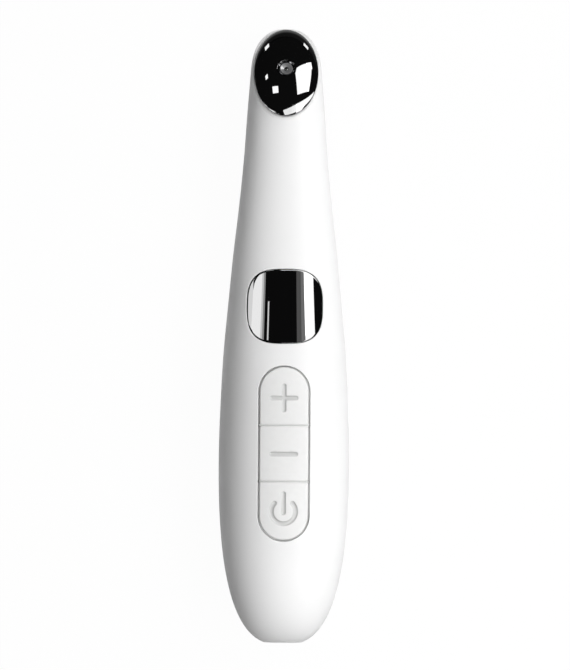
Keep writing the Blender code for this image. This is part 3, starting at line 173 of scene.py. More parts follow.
# Treatment head
SEAT_TILT = math.radians(25.0)
SEAT_PLACE = 0.9254 * LENGTH
SEAT_HEIGHT = 0.6343 * DEPTH
SEAT_FILLET = 0.14 * MM
SEAT_RIM = 0.33 * MM
TIP_RIM = 0.2 * MM
CAP_EDGE = 0.5 * MM
CAP_RISE = 2.6 * MM
CAP_POWER = 2.2
CAP_RIM_POWER = 1.1
CAP_FILLET = 0.16 * MM
CAP_FOOT_SHARE = 0.8
CAP_POINTS = 160
CAP_ROWS = 44
LENS_RADIUS = 1.6 * MM
RING_INSIDE = 1.75 * MM
RING_OUTSIDE = 2.05 * MM
RING_ROUND = 0.04 * MM
RING_SLOPE = 0.2 * MM
LIGHT_HOLE = 2.2 * MM
HOLE_FILLET = 0.12 * MM
LENS_CROWN = 0.2 * MM
LENS_ROLL = 0.1 * MM
LENS_CONE = 0.4 * MM
LENS_DISH = 0.6 * MM
LENS_BEAD = 0.4 * MM
LENS_DEPTH = 1.6 * MM
BEAD_STEPS = 8
BEAD_RIM_SHARE = 1.15
BEZEL_POINTS = 96
LIGHT_POINTS = 72

# Charging socket
SOCKET_WIDTH = 7.6 * MM
SOCKET_HEIGHT = 2.9 * MM
SOCKET_CORNER = 1.2 * MM
SOCKET_WALL = 0.3 * MM
SOCKET_RECESS = 0.4 * MM
SOCKET_DEPTH = 5.6 * MM
TONGUE_WIDTH = 3.8 * MM
TONGUE_HEIGHT = 0.7 * MM
TONGUE_RECESS = 0.8 * MM
TONGUE_CORNER = 0.15 * MM
TONGUE_BEVEL = 0.1 * MM
CONTACTS = 6
CONTACT_SHARE = 0.3
CONTACT_LIFT = 0.02 * MM
CONTACT_NEAR = 0.3 * MM
CONTACT_FAR = 0.8 * MM
CONTACT_THICKNESS = 0.03 * MM

# Noise in the finishes: the range that it is spread from, and how much coarser than the grain
# its mottling and its patches of gloss are
NOISE_DETAIL = 3.0
NOISE_LOW = 0.3
NOISE_HIGH = 0.7
MOTTLE_SIZE = 12
PATCH_SIZE = 5
GLOSS_SPREAD = 0.1

# Floor: how far out it stays at full white, where it has faded, and how much sooner in gloss
FLOOR_RADIUS = 8.0
FLOOR_BRIGHT = 0.115
FLOOR_DIM = 0.4
FLOOR_GLOW = 1.03
FLOOR_FAR_GLOW = 0.78
GLOSS_REACH = 2.5
FLOOR_GLOW_SHARE = 0.94
FLOOR_DROP = 0.2 * MM

# Lamps: the glow that the black finishes mirror as white, and the height of the near lamps
KEY_GLOW = 4.35
FAR_GLOW = 3.8
FAR_DISTANCE = 0.22
NEAR_HEIGHT = 0.16
WORLD_GLOW = 0.01

# Camera
CAMERA_LENS = 382.5
CAMERA_HEIGHT = 1.8
CAMERA_LEVEL = 12.0 * MM
SENSOR_WIDTH = 36.0
CLIP_START = 0.05
CAMERA_PLACE = (0.0001, 0.0001)
CAMERA_ROLL = math.radians(0.37)


# Shape of the body

def share_at(place, column):
    """Value of one column of BODY_SHARES at places, on a smooth curve through its rows."""
    knots, values = BODY_SHARES[:, 0], BODY_SHARES[:, column]
    where = np.clip(np.asarray(place) / LENGTH, 0.0, 1.0)
    slopes = np.empty_like(values)
    slopes[1:-1] = (values[2:] - values[:-2]) / (knots[2:] - knots[:-2])
    slopes[0] = (values[1] - values[0]) / (knots[1] - knots[0])
    slopes[-1] = (values[-1] - values[-2]) / (knots[-1] - knots[-2])
    row = np.clip(np.searchsorted(knots, where, side="right") - 1, 0, len(knots) - 2)
    span = knots[row + 1] - knots[row]
    t = (where - knots[row]) / span
    return ((2 * t ** 3 - 3 * t ** 2 + 1) * values[row] + (t ** 3 - 2 * t ** 2 + t) * span * slopes[row]
            + (3 * t ** 2 - 2 * t ** 3) * values[row + 1] + (t ** 3 - t ** 2) * span * slopes[row + 1])


def round_off(share, power):
    return (1 - np.clip(share, 0.0, 1.0) ** power) ** (1 / power)


def spine(place):
    return share_at(place, 3) * DEPTH


def section(place):
    """Half width, front rise and back drop of the body."""
    place = np.asarray(place, dtype=float)
    kept = (round_off((BASE_CENTRE - place) / BASE_REACH, BASE_POWER)
            * round_off((place - NOSE_CENTRE) / NOSE_REACH, NOSE_POWER))
    return (share_at(place, 1) * HALF_WIDTH * kept, share_at(place, 2) * DEPTH * kept,
            share_at(place, 4) * DEPTH * kept)


def along(place):
    return place - LENGTH / 2


def flattened(height):
    """Heights with the flat on the back worked in, without a hard edge."""
    return (height + np.sqrt(height ** 2 + FLAT_SOFTNESS ** 2)) / 2


def signed_power(value, power):
    return np.sign(value) * np.abs(value) ** power


def skin(place, turn):
    """Points of the skin at places and turns."""
    half, rise, drop = section(place)
    across, up = np.cos(turn), np.sin(turn)
    x = half * signed_power(across, 2 / SECTION_POWER)
    z = spine(place) + np.where(up > 0, rise, drop) * signed_power(up, 2 / SECTION_POWER)
    return np.stack([x, np.broadcast_to(along(place), x.shape), flattened(z)], axis=-1)


def front_height(x, y):
    """Height of the front at plan points."""
    place = y + LENGTH / 2
    half, rise, _ = section(place)
    return spine(place) + rise * round_off(np.abs(x) / half, SECTION_POWER)


# The shells are unrolled onto a flat map: "run" along the body and "column" round it

BASE_TURN = math.asin(BASE_CENTRE / BASE_REACH)
MIDDLE_RUN = BASE_RUN + NOSE_CENTRE - BASE_CENTRE
FULL_RUN = MIDDLE_RUN + NOSE_RUN


def place_of(run):
    run = np.asarray(run, dtype=float)
    base = BASE_CENTRE - BASE_REACH * np.sin(BASE_TURN * np.clip(1 - run / BASE_RUN, 0.0, 1.0))
    nose = NOSE_CENTRE + NOSE_REACH * np.sin(math.pi / 2 * np.clip((run - MIDDLE_RUN) / NOSE_RUN, 0.0, 1.0))
    middle = BASE_CENTRE + run - BASE_RUN
    return np.where(run < BASE_RUN, base, np.where(run > MIDDLE_RUN, nose, middle))


def run_of(place):
    place = np.asarray(place, dtype=float)
    base = BASE_RUN * (1 - np.arcsin(np.clip((BASE_CENTRE - place) / BASE_REACH, 0.0, 1.0)) / BASE_TURN)
    nose_share = np.clip((place - NOSE_CENTRE) / NOSE_REACH, 0.0, 1.0)
    nose = MIDDLE_RUN + NOSE_RUN * np.arcsin(nose_share) / (math.pi / 2)
    middle = place - BASE_CENTRE + BASE_RUN
    return np.where(place < BASE_CENTRE, base, np.where(place > NOSE_CENTRE, nose, middle))


def seam_turn(place, split):
    """Turn below the widest line at which the skin meets the seam, a split above or below it."""
    drop = np.maximum(section(place)[2], FLAT_SOFTNESS / 10)
    return np.arcsin(np.clip((SEAM_DROP - split) / drop, 0.0, 1.0) ** (SECTION_POWER / 2))


FRONT_SPLIT = SEAM_GAP / 2 + SEAM_FILLET
REAR_SPLIT = -SEAM_GAP / 2 - SEAM_FILLET


def front_skin(run, column):
    """Points of the front shell's skin; columns run from -1 on the left to 1 on the right."""
    place = place_of(run)
    return skin(place, math.pi / 2 - column * (math.pi / 2 + seam_turn(place, FRONT_SPLIT)))


def rear_skin(run, column):
    place = place_of(run)
    return skin(place, -math.pi / 2 + column * (math.pi / 2 - seam_turn(place, REAR_SPLIT)))


def front_map(x, y, turn=None):
    """Flat map coordinates of plan points, or of points whose turn is known."""
    place = y + LENGTH / 2
    if turn is None:
        half = section(place)[0]
        turn = np.arccos(np.clip(signed_power(x / half, SECTION_POWER / 2), -1.0, 1.0))
    column = (math.pi / 2 - turn) / (math.pi / 2 + seam_turn(place, FRONT_SPLIT))
    return np.stack([run_of(place), column * COLUMN_RUN], axis=-1)


# Outlines, as closed loops of plan points

def circle_turns(count):
    return 2 * math.pi * np.arange(count) / count


def polar(radius, turns):
    return np.stack([radius * np.cos(turns), radius * np.sin(turns)])


def squared_oval(width, length, power, count):
    turn = circle_turns(count)
    return np.stack([width / 2 * signed_power(np.cos(turn), 2 / power),
                     length / 2 * signed_power(np.sin(turn), 2 / power)], axis=-1)


def even_steps(loop, count):
    """The same closed loop with its points at even distances."""
    closed = np.vstack([loop, loop[:1]])
    lengths = np.concatenate([[0.0], np.cumsum(np.linalg.norm(np.diff(closed, axis=0), axis=1))])
    wanted = lengths[-1] * np.arange(count) / count
    return np.stack([np.interp(wanted, lengths, closed[:, axis]) for axis in range(loop.shape[1])], axis=-1)


def rounded_box(left, right, near, far, near_radius, far_radius, steps=10):
    """A rectangle with rounded corners, counterclockwise."""
    corners = ((right - far_radius, far - far_radius, far_radius, 0),
               (left + far_radius, far - far_radius, far_radius, 1),
               (left + near_radius, near + near_radius, near_radius, 2),
               (right - near_radius, near + near_radius, near_radius, 3))
    points = []
    for x, y, radius, quarter in corners:
        for step in range(steps + 1):
            turn = (quarter + step / steps) * math.pi / 2
            points.append((x + radius * math.cos(turn), y + radius * math.sin(turn)))
    return np.array(points)


def inside(points, loop):
    """Which plan points lie inside a closed loop."""
    x, y = points[:, 0][:, None], points[:, 1][:, None]
    ax, ay = loop[:, 0], loop[:, 1]
    bx, by = np.roll(ax, -1), np.roll(ay, -1)
    crosses = (ay > y) != (by > y)
    with np.errstate(divide="ignore", invalid="ignore"):
        at = ax + (y - ay) * (bx - ax) / (by - ay)
    return (crosses & (x < at)).sum(axis=1) % 2 == 1


def near_loop(points, loop, reach):
    gaps = points[:, None, :] - loop[None, :, :]
    return (gaps ** 2).sum(axis=2).min(axis=1) < reach ** 2


def triangulate(points, loops, drop_inside=(), keep_inside=None):
    """Triangles over flat points, with closed loops of point numbers as their borders."""
    edges = [(loop[i], loop[(i + 1) % len(loop)]) for loop in loops for i in range(len(loop))]
    scale = 1 / MM
    found = delaunay_2d_cdt([Vector(point * scale) for point in points], edges, [], 0, 1e-6)
    flat = np.array([tuple(v) for v in found[0]]) / scale
    faces = np.array(found[2])
    centres = flat[faces].mean(axis=1)
    kept = np.ones(len(faces), dtype=bool)
    for loop in drop_inside:
        kept &= ~inside(centres, loop)
    if keep_inside is not None:
        kept &= inside(centres, keep_inside)
    return flat, faces[kept]


def plan_grid(first, second):
    return np.stack(np.meshgrid(first, second, indexing="ij"), axis=-1).reshape(-1, 2)


class Sheet:
    """A flat sheet with closed rings of points and holes in it."""

    def __init__(self):
        self.points, self.loops, self.holes, self.count = [], [], [], 0

    def ring(self, loop, hole=False):
        self.points.append(loop)
        self.loops.append(range(self.count, self.count + len(loop)))
        self.count += len(loop)
        if hole:
            self.holes.append(loop)

    def fill(self, grid, clearance, within=None, rim=None):
        """Triangles over the rings and those grid points that are clear of them."""
        keep = np.ones(len(grid), dtype=bool) if within is None else inside(grid, within)
        for loop in self.points:
            keep &= ~near_loop(grid, loop, clearance)
        for hole in self.holes:
            keep &= ~inside(grid, hole)
        return triangulate(np.vstack(self.points + [grid[keep]]), self.loops, self.holes, rim)


# Mesh building

class Builder:
    """Collects patches of one piece, which meet edge to edge, and makes one mesh of them."""

    def __init__(self):
        self.bm = bmesh.new()

    def faces(self, points, faces, finish=0):
        verts = [self.bm.verts.new(point) for point in points]
        for face in faces:
            self.bm.faces.new([verts[corner] for corner in face]).material_index = finish

    def strip(self, rows, closed=True, finish=0):
        """Quads between rows of points; each row is closed on itself or open."""
        rows = np.asarray(rows, dtype=float)
        count = rows.shape[1]
        faces = []
        last = count if closed else count - 1
        for row in range(len(rows) - 1):
            for corner in range(last):
                following = (corner + 1) % count
                faces.append((row * count + corner, row * count + following,
                              (row + 1) * count + following, (row + 1) * count + corner))
        self.faces(rows.reshape(-1, 3), faces, finish)

    def fan(self, row, centre):
        count = len(row)
        self.faces(np.vstack([row, [centre]]), [(i, (i + 1) % count, count) for i in range(count)])

    def mesh(self, name, sharp, outward):
        """The mesh, its outermost face in a direction turned to look that way."""
        bmesh.ops.remove_doubles(self.bm, verts=self.bm.verts, dist=WELD)
        bmesh.ops.dissolve_degenerate(self.bm, edges=self.bm.edges, dist=SLIVER)
        bmesh.ops.recalc_face_normals(self.bm, faces=self.bm.faces)
        if outward is not None:
            way = Vector(outward)
            self.bm.faces.ensure_lookup_table()
            outer = max(self.bm.faces, key=lambda face: face.calc_center_median().dot(way))
            if outer.normal.dot(way) < 0:
                bmesh.ops.reverse_faces(self.bm, faces=self.bm.faces)
        mesh = bpy.data.meshes.new(name)
        self.bm.to_mesh(mesh)
        self.bm.free()
        mesh.shade_smooth()
        mesh.set_sharp_from_angle(angle=math.radians(sharp))
        return mesh


def piece(name, builder, material, body, replaced=(), sharp=38.0, outward=(0, 0, 1)):
    """Put a piece on its body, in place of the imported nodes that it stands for."""
    thing = bpy.data.objects.new(name, builder.mesh(name, sharp, outward))
    bpy.context.scene.collection.objects.link(thing)
    thing.data.materials.append(material)
    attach(thing, body)
    if replaced:
        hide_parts(*replaced)
    return thing


def fillet_turns(steps=FILLET_STEPS):
    return [math.pi / 2 * step / steps for step in range(steps + 1)]


def offset_loop(loop, distance):
    """A loop moved outwards along its own normals."""
    tangent = np.roll(loop, -1, axis=0) - np.roll(loop, 1, axis=0)
    normal = np.stack([tangent[:, 1], -tangent[:, 0]], axis=-1)
    normal /= np.linalg.norm(normal, axis=1)[:, None]
    return loop + normal * distance


# Finishes

def shader(name):
    material = bpy.data.materials.new(name)
    material.use_nodes = True
    return material, material.node_tree, material.node_tree.nodes["Principled BSDF"]


def node(tree, kind, **values):
    made = tree.nodes.new(kind)
    for key, value in values.items():
        setattr(made, key, value)
    return made


def noise(tree, scale, stretch=(1.0, 1.0, 1.0)):
    """Noise over the object's own coordinates, its scale counted per metre."""
    coordinates = node(tree, "ShaderNodeTexCoord")
    mapping = node(tree, "ShaderNodeMapping")
    mapping.inputs["Scale"].default_value = stretch
    texture = node(tree, "ShaderNodeTexNoise")
    texture.inputs["Scale"].default_value = scale
    texture.inputs["Detail"].default_value = NOISE_DETAIL
    tree.links.new(coordinates.outputs["Object"], mapping.inputs["Vector"])
    tree.links.new(mapping.outputs["Vector"], texture.inputs["Vector"])
    return texture.outputs["Fac"]


def spread(tree, source, low, high):
    """A noise spread between two numbers."""
    ranged = node(tree, "ShaderNodeMapRange")
    ranged.inputs["From Min"].default_value = NOISE_LOW
    ranged.inputs["From Max"].default_value = NOISE_HIGH
    ranged.inputs["To Min"].default_value = low
    ranged.inputs["To Max"].default_value = high
    tree.links.new(source, ranged.inputs["Value"])
    return ranged.outputs["Result"]


def tinted(tree, source, first, second):
    """A noise turned into a colour between two."""
    ramp = node(tree, "ShaderNodeValToRGB")
    ramp.color_ramp.elements[0].position = NOISE_LOW
    ramp.color_ramp.elements[1].position = NOISE_HIGH
    ramp.color_ramp.elements[0].color = (*first, 1.0)
    ramp.color_ramp.elements[1].color = (*second, 1.0)
    tree.links.new(source, ramp.inputs["Fac"])
    return ramp.outputs["Color"]


def moulded(name, colour, roughness, grain=2500.0, grain_height=0.002 * MM, variation=0.02,
            metallic=0.0, coat=0.0, coat_roughness=0.03, coat_ior=1.5, ior=1.5, stretch=(1.0, 1.0, 1.0)):
    """A finish with slight mottling, uneven gloss and a fine grain."""
    material, tree, surface = shader(name)
    surface.inputs["Metallic"].default_value = metallic
    surface.inputs["IOR"].default_value = ior
    surface.inputs["Coat Weight"].default_value = coat
    surface.inputs["Coat Roughness"].default_value = coat_roughness
    surface.inputs["Coat IOR"].default_value = coat_ior
    lighter = tuple(min(1.0, channel * (1 + variation)) for channel in colour)
    darker = tuple(channel * (1 - variation) for channel in colour)
    mottle = noise(tree, grain / MOTTLE_SIZE, stretch)
    tree.links.new(tinted(tree, mottle, darker, lighter), surface.inputs["Base Color"])
    gloss = spread(tree, noise(tree, grain / PATCH_SIZE, stretch), roughness * (1 - GLOSS_SPREAD),
                   roughness * (1 + GLOSS_SPREAD))
    tree.links.new(gloss, surface.inputs["Roughness"])
    bump = node(tree, "ShaderNodeBump")
    bump.inputs["Strength"].default_value = 1.0
    bump.inputs["Distance"].default_value = grain_height
    tree.links.new(noise(tree, grain, stretch), bump.inputs["Height"])
    tree.links.new(bump.outputs["Normal"], surface.inputs["Normal"])
    material.diffuse_color = (*colour, 1.0)
    return material


WHITE_PLASTIC = moulded("white_plastic", (0.84, 0.84, 0.84), 0.45, grain=900.0, grain_height=0.0006 * MM,
                        variation=0.006, ior=1.4)
KEY_PLASTIC = moulded("key_plastic", (0.79, 0.79, 0.785), 0.55, grain=9000.0, grain_height=0.004 * MM,
                      variation=0.012)
# Darker grey for the sunk signs' walls and floor: painted shade in the grooves, the keys' own plastic being
# lighter
GROOVE_SHADE_PLASTIC = moulded("sign_groove_painted_shade", (0.6, 0.6, 0.595), 0.6, grain=9000.0, grain_height=0.004 * MM,
                       variation=0.02)
BLACK_GLOSS = moulded("black_gloss", (0.0015, 0.0015, 0.0016), 0.04, grain=400.0, grain_height=0.0002 * MM,
                      variation=0.1, coat=1.0, coat_roughness=0.01, coat_ior=2.6)
BLACK_GLASS = moulded("black_glass", (0.001, 0.001, 0.0011), 0.02, grain=300.0, grain_height=0.0001 * MM,
                      variation=0.1, ior=1.52, coat=1.0, coat_roughness=0.01, coat_ior=2.6)
STEEL = moulded("bright_steel", (0.16, 0.16, 0.165), 0.12, grain=6000.0, grain_height=0.0005 * MM,
                variation=0.04, metallic=1.0)
SOCKET_STEEL = moulded("socket_steel", (0.6, 0.6, 0.61), 0.3, grain=5000.0, grain_height=0.003 * MM,
                       variation=0.05, metallic=1.0, stretch=(1.0, 0.1, 1.0))
DARK_PLASTIC = moulded("dark_plastic", (0.03, 0.03, 0.033), 0.5, grain=4000.0, grain_height=0.004 * MM,
                       variation=0.08)
GOLD = moulded("contact_gold", (0.86, 0.62, 0.25), 0.25, grain=6000.0, grain_height=0.001 * MM,
               variation=0.04, metallic=1.0)
LENS_PLASTIC = moulded("lens_plastic", (0.15, 0.15, 0.153), 0.25, grain=5000.0, grain_height=0.002 * MM,
                       variation=0.2, coat=1.0)

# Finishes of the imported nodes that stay, by their slot: colour, roughness, metallic
INNER_FINISHES = {
    "white_plastic": ((0.86, 0.86, 0.86), 0.3, 0.0),
    "black_gloss": ((0.01, 0.01, 0.01), 0.1, 0.0),
    "black_glass": ((0.01, 0.01, 0.01), 0.1, 0.0),
    "grey_keys": ((0.78, 0.775, 0.765), 0.5, 0.0),
    "bright_steel": ((0.68, 0.68, 0.69), 0.22, 1.0),
    "socket_steel": ((0.6, 0.6, 0.61), 0.3, 1.0),
    "heater_aluminium": ((0.75, 0.76, 0.78), 0.35, 1.0),
    "light_plastic": ((0.85, 0.84, 0.8), 0.45, 0.0),
    "black_rubber": ((0.03, 0.03, 0.03), 0.8, 0.0),
    "dark_plastic": ((0.03, 0.03, 0.033), 0.5, 0.0),
    "board_green": ((0.02, 0.16, 0.07), 0.45, 0.0),
    "chip_black": ((0.02, 0.02, 0.02), 0.4, 0.0),
    "battery_foil": ((0.6, 0.62, 0.65), 0.35, 0.6),
    "foam_grey": ((0.2, 0.2, 0.2), 0.95, 0.0),
    "ribbon_amber": ((0.55, 0.3, 0.06), 0.4, 0.0),
    "lead_red": ((0.6, 0.02, 0.02), 0.45, 0.0),
    "lead_black": ((0.02, 0.02, 0.02), 0.45, 0.0),
}


def dress_inner_nodes():
    """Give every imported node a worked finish, in case an opening shows it."""
    made = {}
    for entry in frame["record"]["subparts"]:
        slot = entry["material_slot"]
        if slot not in made:
            colour, roughness, metallic = INNER_FINISHES[slot]
            made[slot] = moulded("inner_" + slot, colour, roughness, metallic=metallic, variation=0.06,
                                 grain=4000.0, grain_height=0.004 * MM)
        mesh = frame["nodes"][entry["node"]].data
        mesh.materials.clear()
        mesh.materials.append(made[slot])


# Front shell

def on_seat(across, up_seat, out):
    """World points of places on the leaning seat: up it towards the tip, and out of it."""
    lean, rise = math.cos(SEAT_TILT), math.sin(SEAT_TILT)
    return np.stack([across, along(SEAT_PLACE) + up_seat * lean + out * rise,
                     SEAT_HEIGHT - up_seat * rise + out * lean], axis=-1)


def within_body(points):
    """Which points lie inside the skin."""
    place = points[:, 1] + LENGTH / 2
    half, rise, drop = section(place)
    offset = points[:, 2] - spine(place)
    reach = np.where(offset > 0, rise, drop)
    with np.errstate(divide="ignore", invalid="ignore"):
        share = np.abs(points[:, 0] / half) ** SECTION_POWER + np.abs(offset / reach) ** SECTION_POWER
    return (share < 1.0) & (place < LENGTH)


def seat_outline(out, directions):
    """Where a plane level with the seat, some way out of it, meets the skin."""
    near, far = np.zeros(len(directions)), np.full(len(directions), LENGTH)
    for _ in range(HALVINGS):
        middle = (near + far) / 2
        inner = within_body(on_seat(*polar(middle, directions), out))
        near, far = np.where(inner, middle, near), np.where(inner, far, middle)
    return near


def turn_of(points):
    """Turn about the widest line of points on the skin."""
    place = points[:, 1] + LENGTH / 2
    half, rise, drop = section(place)
    offset = points[:, 2] - spine(place)
    reach = np.where(offset > 0, rise, drop)
    return np.arctan2(signed_power(offset / reach, SECTION_POWER / 2),
                      signed_power(points[:, 0] / half, SECTION_POWER / 2))


def shell_runs():
    return np.concatenate([np.linspace(0, BASE_RUN, BASE_ROWS, endpoint=False),
                           np.linspace(BASE_RUN, MIDDLE_RUN, MIDDLE_ROWS, endpoint=False),
                           np.linspace(MIDDLE_RUN, FULL_RUN, NOSE_ROWS + 1)])


def shell_columns():
    return np.linspace(-1.0, 1.0, COLUMNS + 1)


def make_front_shell():
    builder, sheet = Builder(), Sheet()
    window = squared_oval(WINDOW_WIDTH + 2 * WINDOW_GAP, WINDOW_LENGTH + 2 * WINDOW_GAP, WINDOW_POWER,
                          OUTLINE_POINTS)
    window = even_steps(window, WINDOW_POINTS) + (0.0, along(WINDOW_PLACE))
    pill = rounded_box(-PILL_WIDTH / 2, PILL_WIDTH / 2, -PILL_LENGTH / 2, PILL_LENGTH / 2,
                       PILL_WIDTH / 2, PILL_WIDTH / 2, PILL_CORNER_STEPS)
    pill = even_steps(pill, PILL_POINTS) + (0.0, along(PILL_PLACE))
    for outline, fillet in ((window, WINDOW_FILLET), (pill, PILL_FILLET)):
        for extra in OPENING_RINGS:
            loop = offset_loop(outline, fillet + extra)
            sheet.ring(front_map(loop[:, 0], loop[:, 1]), hole=extra == 0.0)
        rows = []
        for turn in fillet_turns():
            loop = offset_loop(outline, fillet * (1 - math.sin(turn)))
            height = front_height(loop[:, 0], loop[:, 1]) - fillet * (1 - math.cos(turn))
            rows.append(np.column_stack([loop, height]))
        wall = rows[-1].copy()
        wall[:, 2] -= SHELL
        builder.strip(rows + [wall])

    directions = circle_turns(CAP_POINTS)
    for extra in OPENING_RINGS:
        out = -SEAT_FILLET - extra
        edge = on_seat(*polar(seat_outline(out, directions), directions), out)
        sheet.ring(front_map(edge[:, 0], edge[:, 1], turn_of(edge)), hole=extra == 0.0)
    inset = seat_outline(0.0, directions) - SEAT_FILLET
    reach = seat_outline(-SEAT_FILLET, directions) - inset
    rows = [on_seat(*polar(inset + reach * math.cos(turn), directions), -SEAT_FILLET * (1 - math.sin(turn)))
            for turn in fillet_turns()]
    rows += [on_seat(*polar(inset - SHELL, directions), out) for out in (0.0, -SHELL)]
    builder.strip(rows)

    runs, columns = shell_runs(), shell_columns()
    flat, faces = sheet.fill(plan_grid(runs, columns * COLUMN_RUN), RING_CLEARANCE)
    builder.faces(front_skin(flat[:, 0], flat[:, 1] / COLUMN_RUN), faces)
    add_seam_lips(builder, runs, 1)
    add_base_end(builder, columns, 1)
    piece("front_shell", builder, WHITE_PLASTIC, "housing", ["front_housing"])


def add_seam_lips(builder, runs, side_up):
    """Round the shell's edge along the seam and turn it in; side_up is 1 in front and -1 behind."""
    shell_skin = front_skin if side_up > 0 else rear_skin
    for side in (-1, 1):
        edge = shell_skin(runs, np.full(len(runs), float(side)))
        rows = []
        for turn in fillet_turns():
            row = edge.copy()
            inward = np.minimum(SEAM_FILLET * (1 - math.cos(turn)), np.abs(edge[:, 0]))
            row[:, 0] -= np.sign(edge[:, 0]) * inward
            row[:, 2] -= side_up * SEAM_FILLET * math.sin(turn)
            rows.append(row)
        last = rows[-1].copy()
        last[:, 0] -= np.sign(edge[:, 0]) * np.minimum(SEAM_LIP, np.abs(last[:, 0]))
        rows.append(last)
        builder.strip(rows, closed=False)
        if side_up < 0:
            foot = edge.copy()
            foot[:, 0] -= np.sign(edge[:, 0]) * np.minimum(TONGUE_INSET, np.abs(edge[:, 0]) / 2)
            foot[:, 2] = rows[-1][:, 2]
            top = foot.copy()
            top[:, 2] += TONGUE_RISE
            builder.strip([foot, top], closed=False)


def port_arc(level, upper, count):
    """The part of the port's outline above or below a level, from the left to the right."""
    loop = rounded_box(-PORT_WIDTH / 2, PORT_WIDTH / 2, -PORT_HEIGHT / 2, PORT_HEIGHT / 2,
                       PORT_CORNER, PORT_CORNER)
    loop = offset_loop(even_steps(loop, PORT_POINTS), PORT_FILLET)
    height = loop[:, 1] + spine(0.0)
    part = loop[(height > level) if upper else (height < level)]
    centre_turn = np.arctan2(part[:, 1] * (1 if upper else -1), part[:, 0])
    centre_turn = np.where(centre_turn < -math.pi / 2, centre_turn + 2 * math.pi, centre_turn)
    part = part[np.argsort(-centre_turn)]
    half = PORT_WIDTH / 2 + PORT_FILLET
    part = np.vstack([[-half, level - spine(0.0)], part, [half, level - spine(0.0)]])
    lengths = np.concatenate([[0.0], np.cumsum(np.linalg.norm(np.diff(part, axis=0), axis=1))])
    wanted = np.linspace(0.0, lengths[-1], count)
    return np.stack([np.interp(wanted, lengths, part[:, axis]) for axis in (0, 1)], axis=-1)


def add_base_end(builder, columns, side_up):
    """Close the charging end round its port, as far as the seam."""
    upper = side_up > 0
    shell_skin = front_skin if upper else rear_skin
    rim = shell_skin(np.zeros(len(columns)), columns)
    middle = spine(0.0)
    arc = port_arc(middle - SEAM_DROP + (FRONT_SPLIT if upper else REAR_SPLIT), upper, len(columns))
    mouth = np.column_stack([arc[:, 0], np.full(len(arc), along(0.0)), arc[:, 1] + middle])
    rows = [rim + (mouth - rim) * share for share in BASE_END_RINGS]
    for turn in fillet_turns()[1:]:
        row = mouth.copy()
        shrink_x = 1 - PORT_FILLET * math.sin(turn) / (PORT_WIDTH / 2 + PORT_FILLET)
        shrink_z = 1 - PORT_FILLET * math.sin(turn) / (PORT_HEIGHT / 2 + PORT_FILLET)
        row[:, 0] *= shrink_x
        row[1:-1, 2] = middle + (row[1:-1, 2] - middle) * shrink_z
        row[:, 1] += PORT_FILLET * (1 - math.cos(turn))
        rows.append(row)
    deep = rows[-1].copy()
    deep[:, 1] += PORT_DEPTH
    rows.append(deep)
    builder.strip(rows, closed=False)


def make_rear_shell():
    builder = Builder()
    runs, columns = shell_runs(), shell_columns()
    runs = runs[section(place_of(runs))[2] > SEAM_DROP - REAR_SPLIT]
    builder.strip([rear_skin(np.full(len(columns), run), columns) for run in runs], closed=False)
    add_seam_lips(builder, runs, -1)
    add_base_end(builder, columns, -1)
    piece("rear_shell", builder, WHITE_PLASTIC, "housing", ["rear_housing"],
          outward=(0, 0, -1))


# Window and keys

def make_window():
    """The window's plate, which follows the front and rolls off towards its rim."""
    builder = Builder()
    loop = squared_oval(WINDOW_WIDTH, WINDOW_LENGTH, WINDOW_POWER, OUTLINE_POINTS)
    loop = even_steps(loop, WINDOW_POINTS) + (0.0, along(WINDOW_PLACE))

    def top(flat):
        return front_height(flat[:, 0], flat[:, 1])

    rows = [np.column_stack([loop, top(loop) - WINDOW_THICKNESS])]
    for turn in fillet_turns(2 * FILLET_STEPS):
        inner = offset_loop(loop, -WINDOW_ROLL * (1 - math.cos(turn)))
        rows.append(np.column_stack([inner, top(inner) - WINDOW_ROLL_DROP * (1 - math.sin(turn))]))
    centre = loop.mean(axis=0)
    rim = offset_loop(loop, -WINDOW_ROLL)
    for share in np.linspace(1.0, 0.0, WINDOW_RINGS + 1)[1:-1]:
        ring = centre + (rim - centre) * share
        rows.append(np.column_stack([ring, top(ring)]))
    builder.strip(rows)
    builder.fan(rows[-1], np.append(centre, top(centre[None])[0]))
    piece("window_glass", builder, BLACK_GLASS, "housing", ["display_window"])


def arc_points(centre, radius, start, end, steps):
    turns = np.linspace(start, end, steps + 1)
    return np.stack([centre[0] + radius * np.cos(turns), centre[1] + radius * np.sin(turns)], axis=-1)


def bar_loop(near, far, radius, direction):
    """A straight stroke with round ends, along a direction."""
    turn = math.atan2(direction[1], direction[0])
    unit = np.array(direction)
    ends = (arc_points(unit * far, radius, turn - math.pi / 2, turn + math.pi / 2, SIGN_ROUND_STEPS),
            arc_points(unit * near, radius, turn + math.pi / 2, turn + 3 * math.pi / 2, SIGN_ROUND_STEPS))
    return np.vstack(ends)


def plus_loop(radius):
    points = []
    for quarter in range(4):
        turn = quarter * math.pi / 2
        tip = (SIGN_ARM - SIGN_STROKE / 2) * np.array([math.cos(turn), math.sin(turn)])
        points.append(arc_points(tip, radius, turn - math.pi / 2, turn + math.pi / 2, SIGN_ROUND_STEPS))
        corner = turn + math.pi / 4
        points.append(math.sqrt(2) * radius * np.array([[math.cos(corner), math.sin(corner)]]))
    return np.vstack(points)


